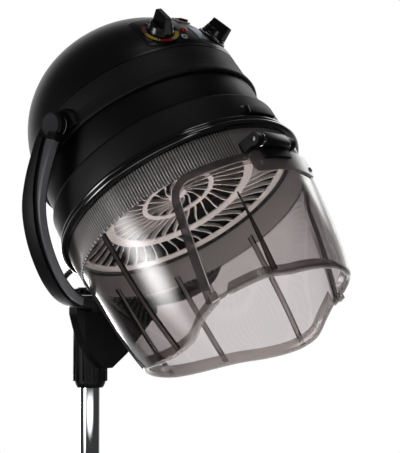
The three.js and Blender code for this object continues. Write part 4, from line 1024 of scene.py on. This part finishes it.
def make_hinge():
    """The housing over the barrel, with its leaf on the visor, and the rings at its two ends."""
    at = Matrix.Translation((0, -HINGE_AXIS, HINGE_HEIGHT))
    half_y, half_z, squareness = 9.6, 9.9, 0.7
    rings = []
    for x, grow in ((-48.5, 0.8), (-47.5, 0.93), (-45.5, 1), (1, 1), (3.5, 0.93), (4.8, 0.8)):
        ring = []
        for a in spaced(0, 2 * math.pi, 36)[:-1]:
            y = half_y * grow * math.copysign(abs(math.cos(a)) ** squareness, math.cos(a))
            z = half_z * grow * math.copysign(abs(math.sin(a)) ** squareness, math.sin(a))
            ring.append((x, y, z))
        rings.append(ring)
    housing = skin(rings)
    housing.transform(at)
    leaf = plate_on_visor(spaced(-15.5, 1, 12), lambda angle: (-58, -36), 4.0, 3)
    piece("hinge_housing", merged(housing, leaf), gloss_abs, "visor", ["hinge_barrel"],
          bevel=0.6, sharp=40)
    for name, x in (("left", -50.2), ("right", 5.4)):
        ring = revolve([(3.4, 0), (9.3, 0), (9.3, 0.7), (3.4, 0.7)], 64, 0.3, "X")
        ring.transform(at @ Matrix.Translation((x, 0, 0)))
        piece("hinge_ring_" + name, ring, chrome, "hood")


def plate_on_visor(angles, heights_at, off, thick):
    """A plate that follows the visor's face; heights_at(angle) gives its foot and its top."""
    rings = []
    for angle in angles:
        foot, top = heights_at(angle)
        low, high = (wall_radius(z) + VISOR_OFF + off for z in (foot, top))
        rings.append([around(high + thick, angle, top), around(low + thick, angle, foot),
                      around(low, angle, foot), around(high, angle, top)])
    return skin(rings)


def make_hinge_plate():
    """The smoked plate that clamps the hinge's leaf to the visor, and its two screws."""
    screws = []
    for tag in ("left", "right"):
        low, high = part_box("visor_screw_" + tag)
        middle = HOOD.inverted() @ PART @ ((Vector(low) + Vector(high)) / 2 / MM)
        turn = math.atan2(middle.x, -middle.y)
        head = revolve([(0, 0), (3.4, 0), (3.4, 0.8), (2.4, 1.9), (0, 2.3)], 32, 0.3)
        head.transform(Matrix.Translation((0, 0, middle.z)) @ Matrix.Rotation(turn, 4, "Z")
                       @ Matrix.Translation((0, -wall_radius(middle.z) - VISOR_OFF - 3.3, 0))
                       @ Matrix.Rotation(math.pi / 2, 4, "X"))
        screws.append(head)
    piece("plate_screws", merged(*screws), chrome, "visor")

    end_angle, end_r = 22.5, 7

    def heights(angle):
        past = max(0, (abs(angle) / end_angle - 0.82) / 0.18)
        round_off = end_r * (1 - math.sqrt(max(0, 1 - past ** 2)))
        return -73 + round_off, -44 - round_off

    plate = plate_on_visor(spaced(-end_angle, end_angle, 40), heights, 0.8, 2.4)
    piece("hinge_leaf_plate", plate, smoke_plate, "visor", ["hinge_plate"], bevel=0.4)


def make_catch():
    """The catch block on the lower band, with teeth along its foot and a small wire clip."""
    profile = ((167.9, 13.5), (173.2, 13.5), (173.9, 16), (173.6, 24), (172.2, 27), (167.9, 27))
    body = skin([[around(r, angle, z) for r, z in profile] for angle in spaced(-8.5, 8.5, 20)])
    teeth = [wall_rib(lambda z, a=angle: a, 14.4, 13.0, lambda z: 173.2, (1.1, 1.1), 0.9)
             for angle in spaced(-7.5, 7.5, 12)]
    piece("catch_block", merged(body, *teeth), satin_abs, "hood", ["visor_catch"],
          bevel=0.5)
    clip = merged(wall_rib(lambda z: -10.2, 28, 25.5, lambda z: 168.4, (4, 4), 1.2),
                  wall_rib(lambda z: -8.6 + 0.08 * (z - 20), 25, 14, lambda z: 173.4, (1.2, 1.2), 0.7))
    piece("catch_clip", clip, zinc, "hood", bevel=0.2)


# ---------- pieces that keep their solids ----------
def pair(name):
    return [name + "_left", name + "_right"]


def dress():
    """Gives the solids that stay their finishes and small moulded edges."""
    finishes = {
        nylon: ["pole_end_plug", "cable_clamp", "rocker_housing"],
        acetal: ["pole_top_bush", *pair("friction_washer"),
                 "heater_post_1", "heater_post_2", "heater_post_3"],
        satin_abs: ["yoke_hub", *pair("pivot_boss"), *pair("hinge_knuckle")],
        shade_dark_steel: ["air_baffle", "motor"],
        smoke_plate: pair("rim_clip"),
        charcoal_abs: ["timer_mechanism", "heat_mechanism", "fan"],
        zinc: [*pair("pivot_bolt"), "thermostat", "inner_frame"],
        chrome: ["hinge_pin", *pair("visor_screw")],
        heater_wire: ["heater_coil"],
    }
    for finish, nodes in finishes.items():
        for name in nodes:
            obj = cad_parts[name]
            obj.data.materials.clear()
            obj.data.materials.append(finish)
            smooth(obj, 0.0 if name in ("fan", "heater_coil", "motor") else 0.5)


# ---------- studio ----------
def softbox(name, target, azimuth, elevation, distance, width, height, radiance, soft=0.5, uses="both"):
    """A rectangular lamp, seen from the target at an azimuth from the front towards +X and at an
    elevation, in degrees. Its edges fade out over a soft share of its half width. It is used to
    fill the shadows, to show in the gloss, or for both."""
    lamp = bpy.data.lights.new(name, "AREA")
    lamp.shape = "RECTANGLE"
    lamp.size, lamp.size_y = width, height
    lamp.energy = radiance * math.pi * width * height
    tree = empty_tree(lamp)
    spot = add_node(tree, "NewGeometry")
    sides = add_node(tree, "SeparateXYZ", {0: spot.outputs["Parametric"]})
    fades = []
    for side in ("X", "Y"):
        centred = add_node(tree, "Math", {0: sides.outputs[side], 1: 2.0, 2: -1.0},
                           operation="MULTIPLY_ADD")
        away = add_node(tree, "Math", {0: centred}, operation="ABSOLUTE")
        fades.append(add_node(tree, "MapRange", {
            "Value": away, "From Min": 1.0, "From Max": 1.0 - soft},
            interpolation_type="SMOOTHSTEP"))
    both = add_node(tree, "Math", {0: fades[0], 1: fades[1]},
                    operation="MULTIPLY")
    light = add_node(tree, "Emission", {"Strength": both})
    add_node(tree, "OutputLight", {"Surface": light})
    obj = new_object(name, lamp)
    az, el = math.radians(azimuth), math.radians(elevation)
    out = Vector((math.sin(az) * math.cos(el), -math.cos(az) * math.cos(el), math.sin(el)))
    obj.location = Vector(target) + out * distance
    obj.rotation_euler = (-out).to_track_quat("-Z", "Y").to_euler()
    obj.visible_camera = False
    obj.visible_glossy = uses in ("gloss", "both")
    obj.visible_diffuse = uses in ("fill", "both")


def make_floor():
    """A pale round floor, white where the camera sees it."""
    bm = bmesh.new()
    bmesh.ops.create_circle(bm, cap_ends=True, radius=2.4, segments=96)
    mesh = bpy.data.meshes.new("floor")
    bm.to_mesh(mesh)
    bm.free()
    floor = new_object("floor", mesh)
    material, tree = new_material("pale_floor")
    matt = add_node(tree, "BsdfDiffuse", {"Color": (0.5, 0.5, 0.5, 1)})
    glow = add_node(tree, "Emission", {"Color": (1, 1, 1, 1), "Strength": 1.0})
    seen = add_node(tree, "LightPath")
    both = add_node(tree, "MixShader", {
        0: seen.outputs["Is Camera Ray"], 1: matt, 2: glow})
    add_node(tree, "OutputMaterial", {"Surface": both})
    mesh.materials.append(material)
    floor.visible_glossy = False


def make_backdrop():
    """White where the camera sees it; what lights the part is a dim room, white behind it."""
    world = bpy.data.worlds.new("studio")
    bpy.context.scene.world = world
    tree = empty_tree(world)
    ray = add_node(tree, "TexCoord")
    toward = add_node(tree, "VectorMath", {0: ray.outputs["Generated"], 1: (0.78, 0.62, 0.05)},
                      operation="DOT_PRODUCT")
    glow = add_node(tree, "MapRange", {
        "Value": toward.outputs["Value"], "From Min": 0.55, "From Max": 0.92,
        "To Min": 0.05, "To Max": 1.0}, interpolation_type="SMOOTHSTEP")
    backdrop = add_node(tree, "Background", {"Color": (1, 1, 1, 1), "Strength": 1.0})
    room = add_node(tree, "Background", {"Color": (1, 1, 1, 1), "Strength": glow})
    seen = add_node(tree, "LightPath")
    mix = add_node(tree, "MixShader", {
        0: seen.outputs["Is Camera Ray"], 1: room, 2: backdrop})
    add_node(tree, "OutputWorld", {"Surface": mix})


def make_lights():
    """The key on the left shows in the gloss and fills, the rim lights edge the hood, and two
    small ones serve the inside of the hood and the tube."""
    middle = (0, -0.15, 0.38)
    softbox("key_box", middle, -112, -8, 2.2, 1.4, 1.5, 14, 1.0, "gloss")
    softbox("key_fill", middle, -112, 2, 2.2, 1.0, 0.8, 19, 0.8, "fill")
    softbox("rim_box_left", middle, 152, -14, 1.5, 0.9, 0.6, 9, 0.6, "gloss")
    softbox("rim_box_right", middle, 92, 28, 2.4, 1.0, 1.2, 3)
    softbox("top_box", middle, -30, 70, 2.2, 0.8, 0.8, 3)
    softbox("front_box", middle, -25, 10, 2.6, 0.5, 1.2, 4)
    softbox("mouth_box", (0, -0.22, 0.3), -40, -52, 0.3, 0.3, 0.22, 20, 0.5, "fill")
    softbox("tube_box", (0, 0, 0.08), -47, -7, 1.6, 3.2, 0.4, 3.5, 0.9, "gloss")


make_stand()
make_socket()
for side, tag in ((-1, "left"), (1, "right")):
    make_arm(side, tag)
    make_pivot_cap(side, tag)
make_cable()
make_shells()
make_controls()
make_grille()
make_skirt()
make_collar()
make_ribs()
make_visor()
make_hinge()
make_hinge_plate()
make_catch()
dress()
make_floor()
make_backdrop()
make_lights()
bpy.context.scene.view_settings.view_transform = "Standard"
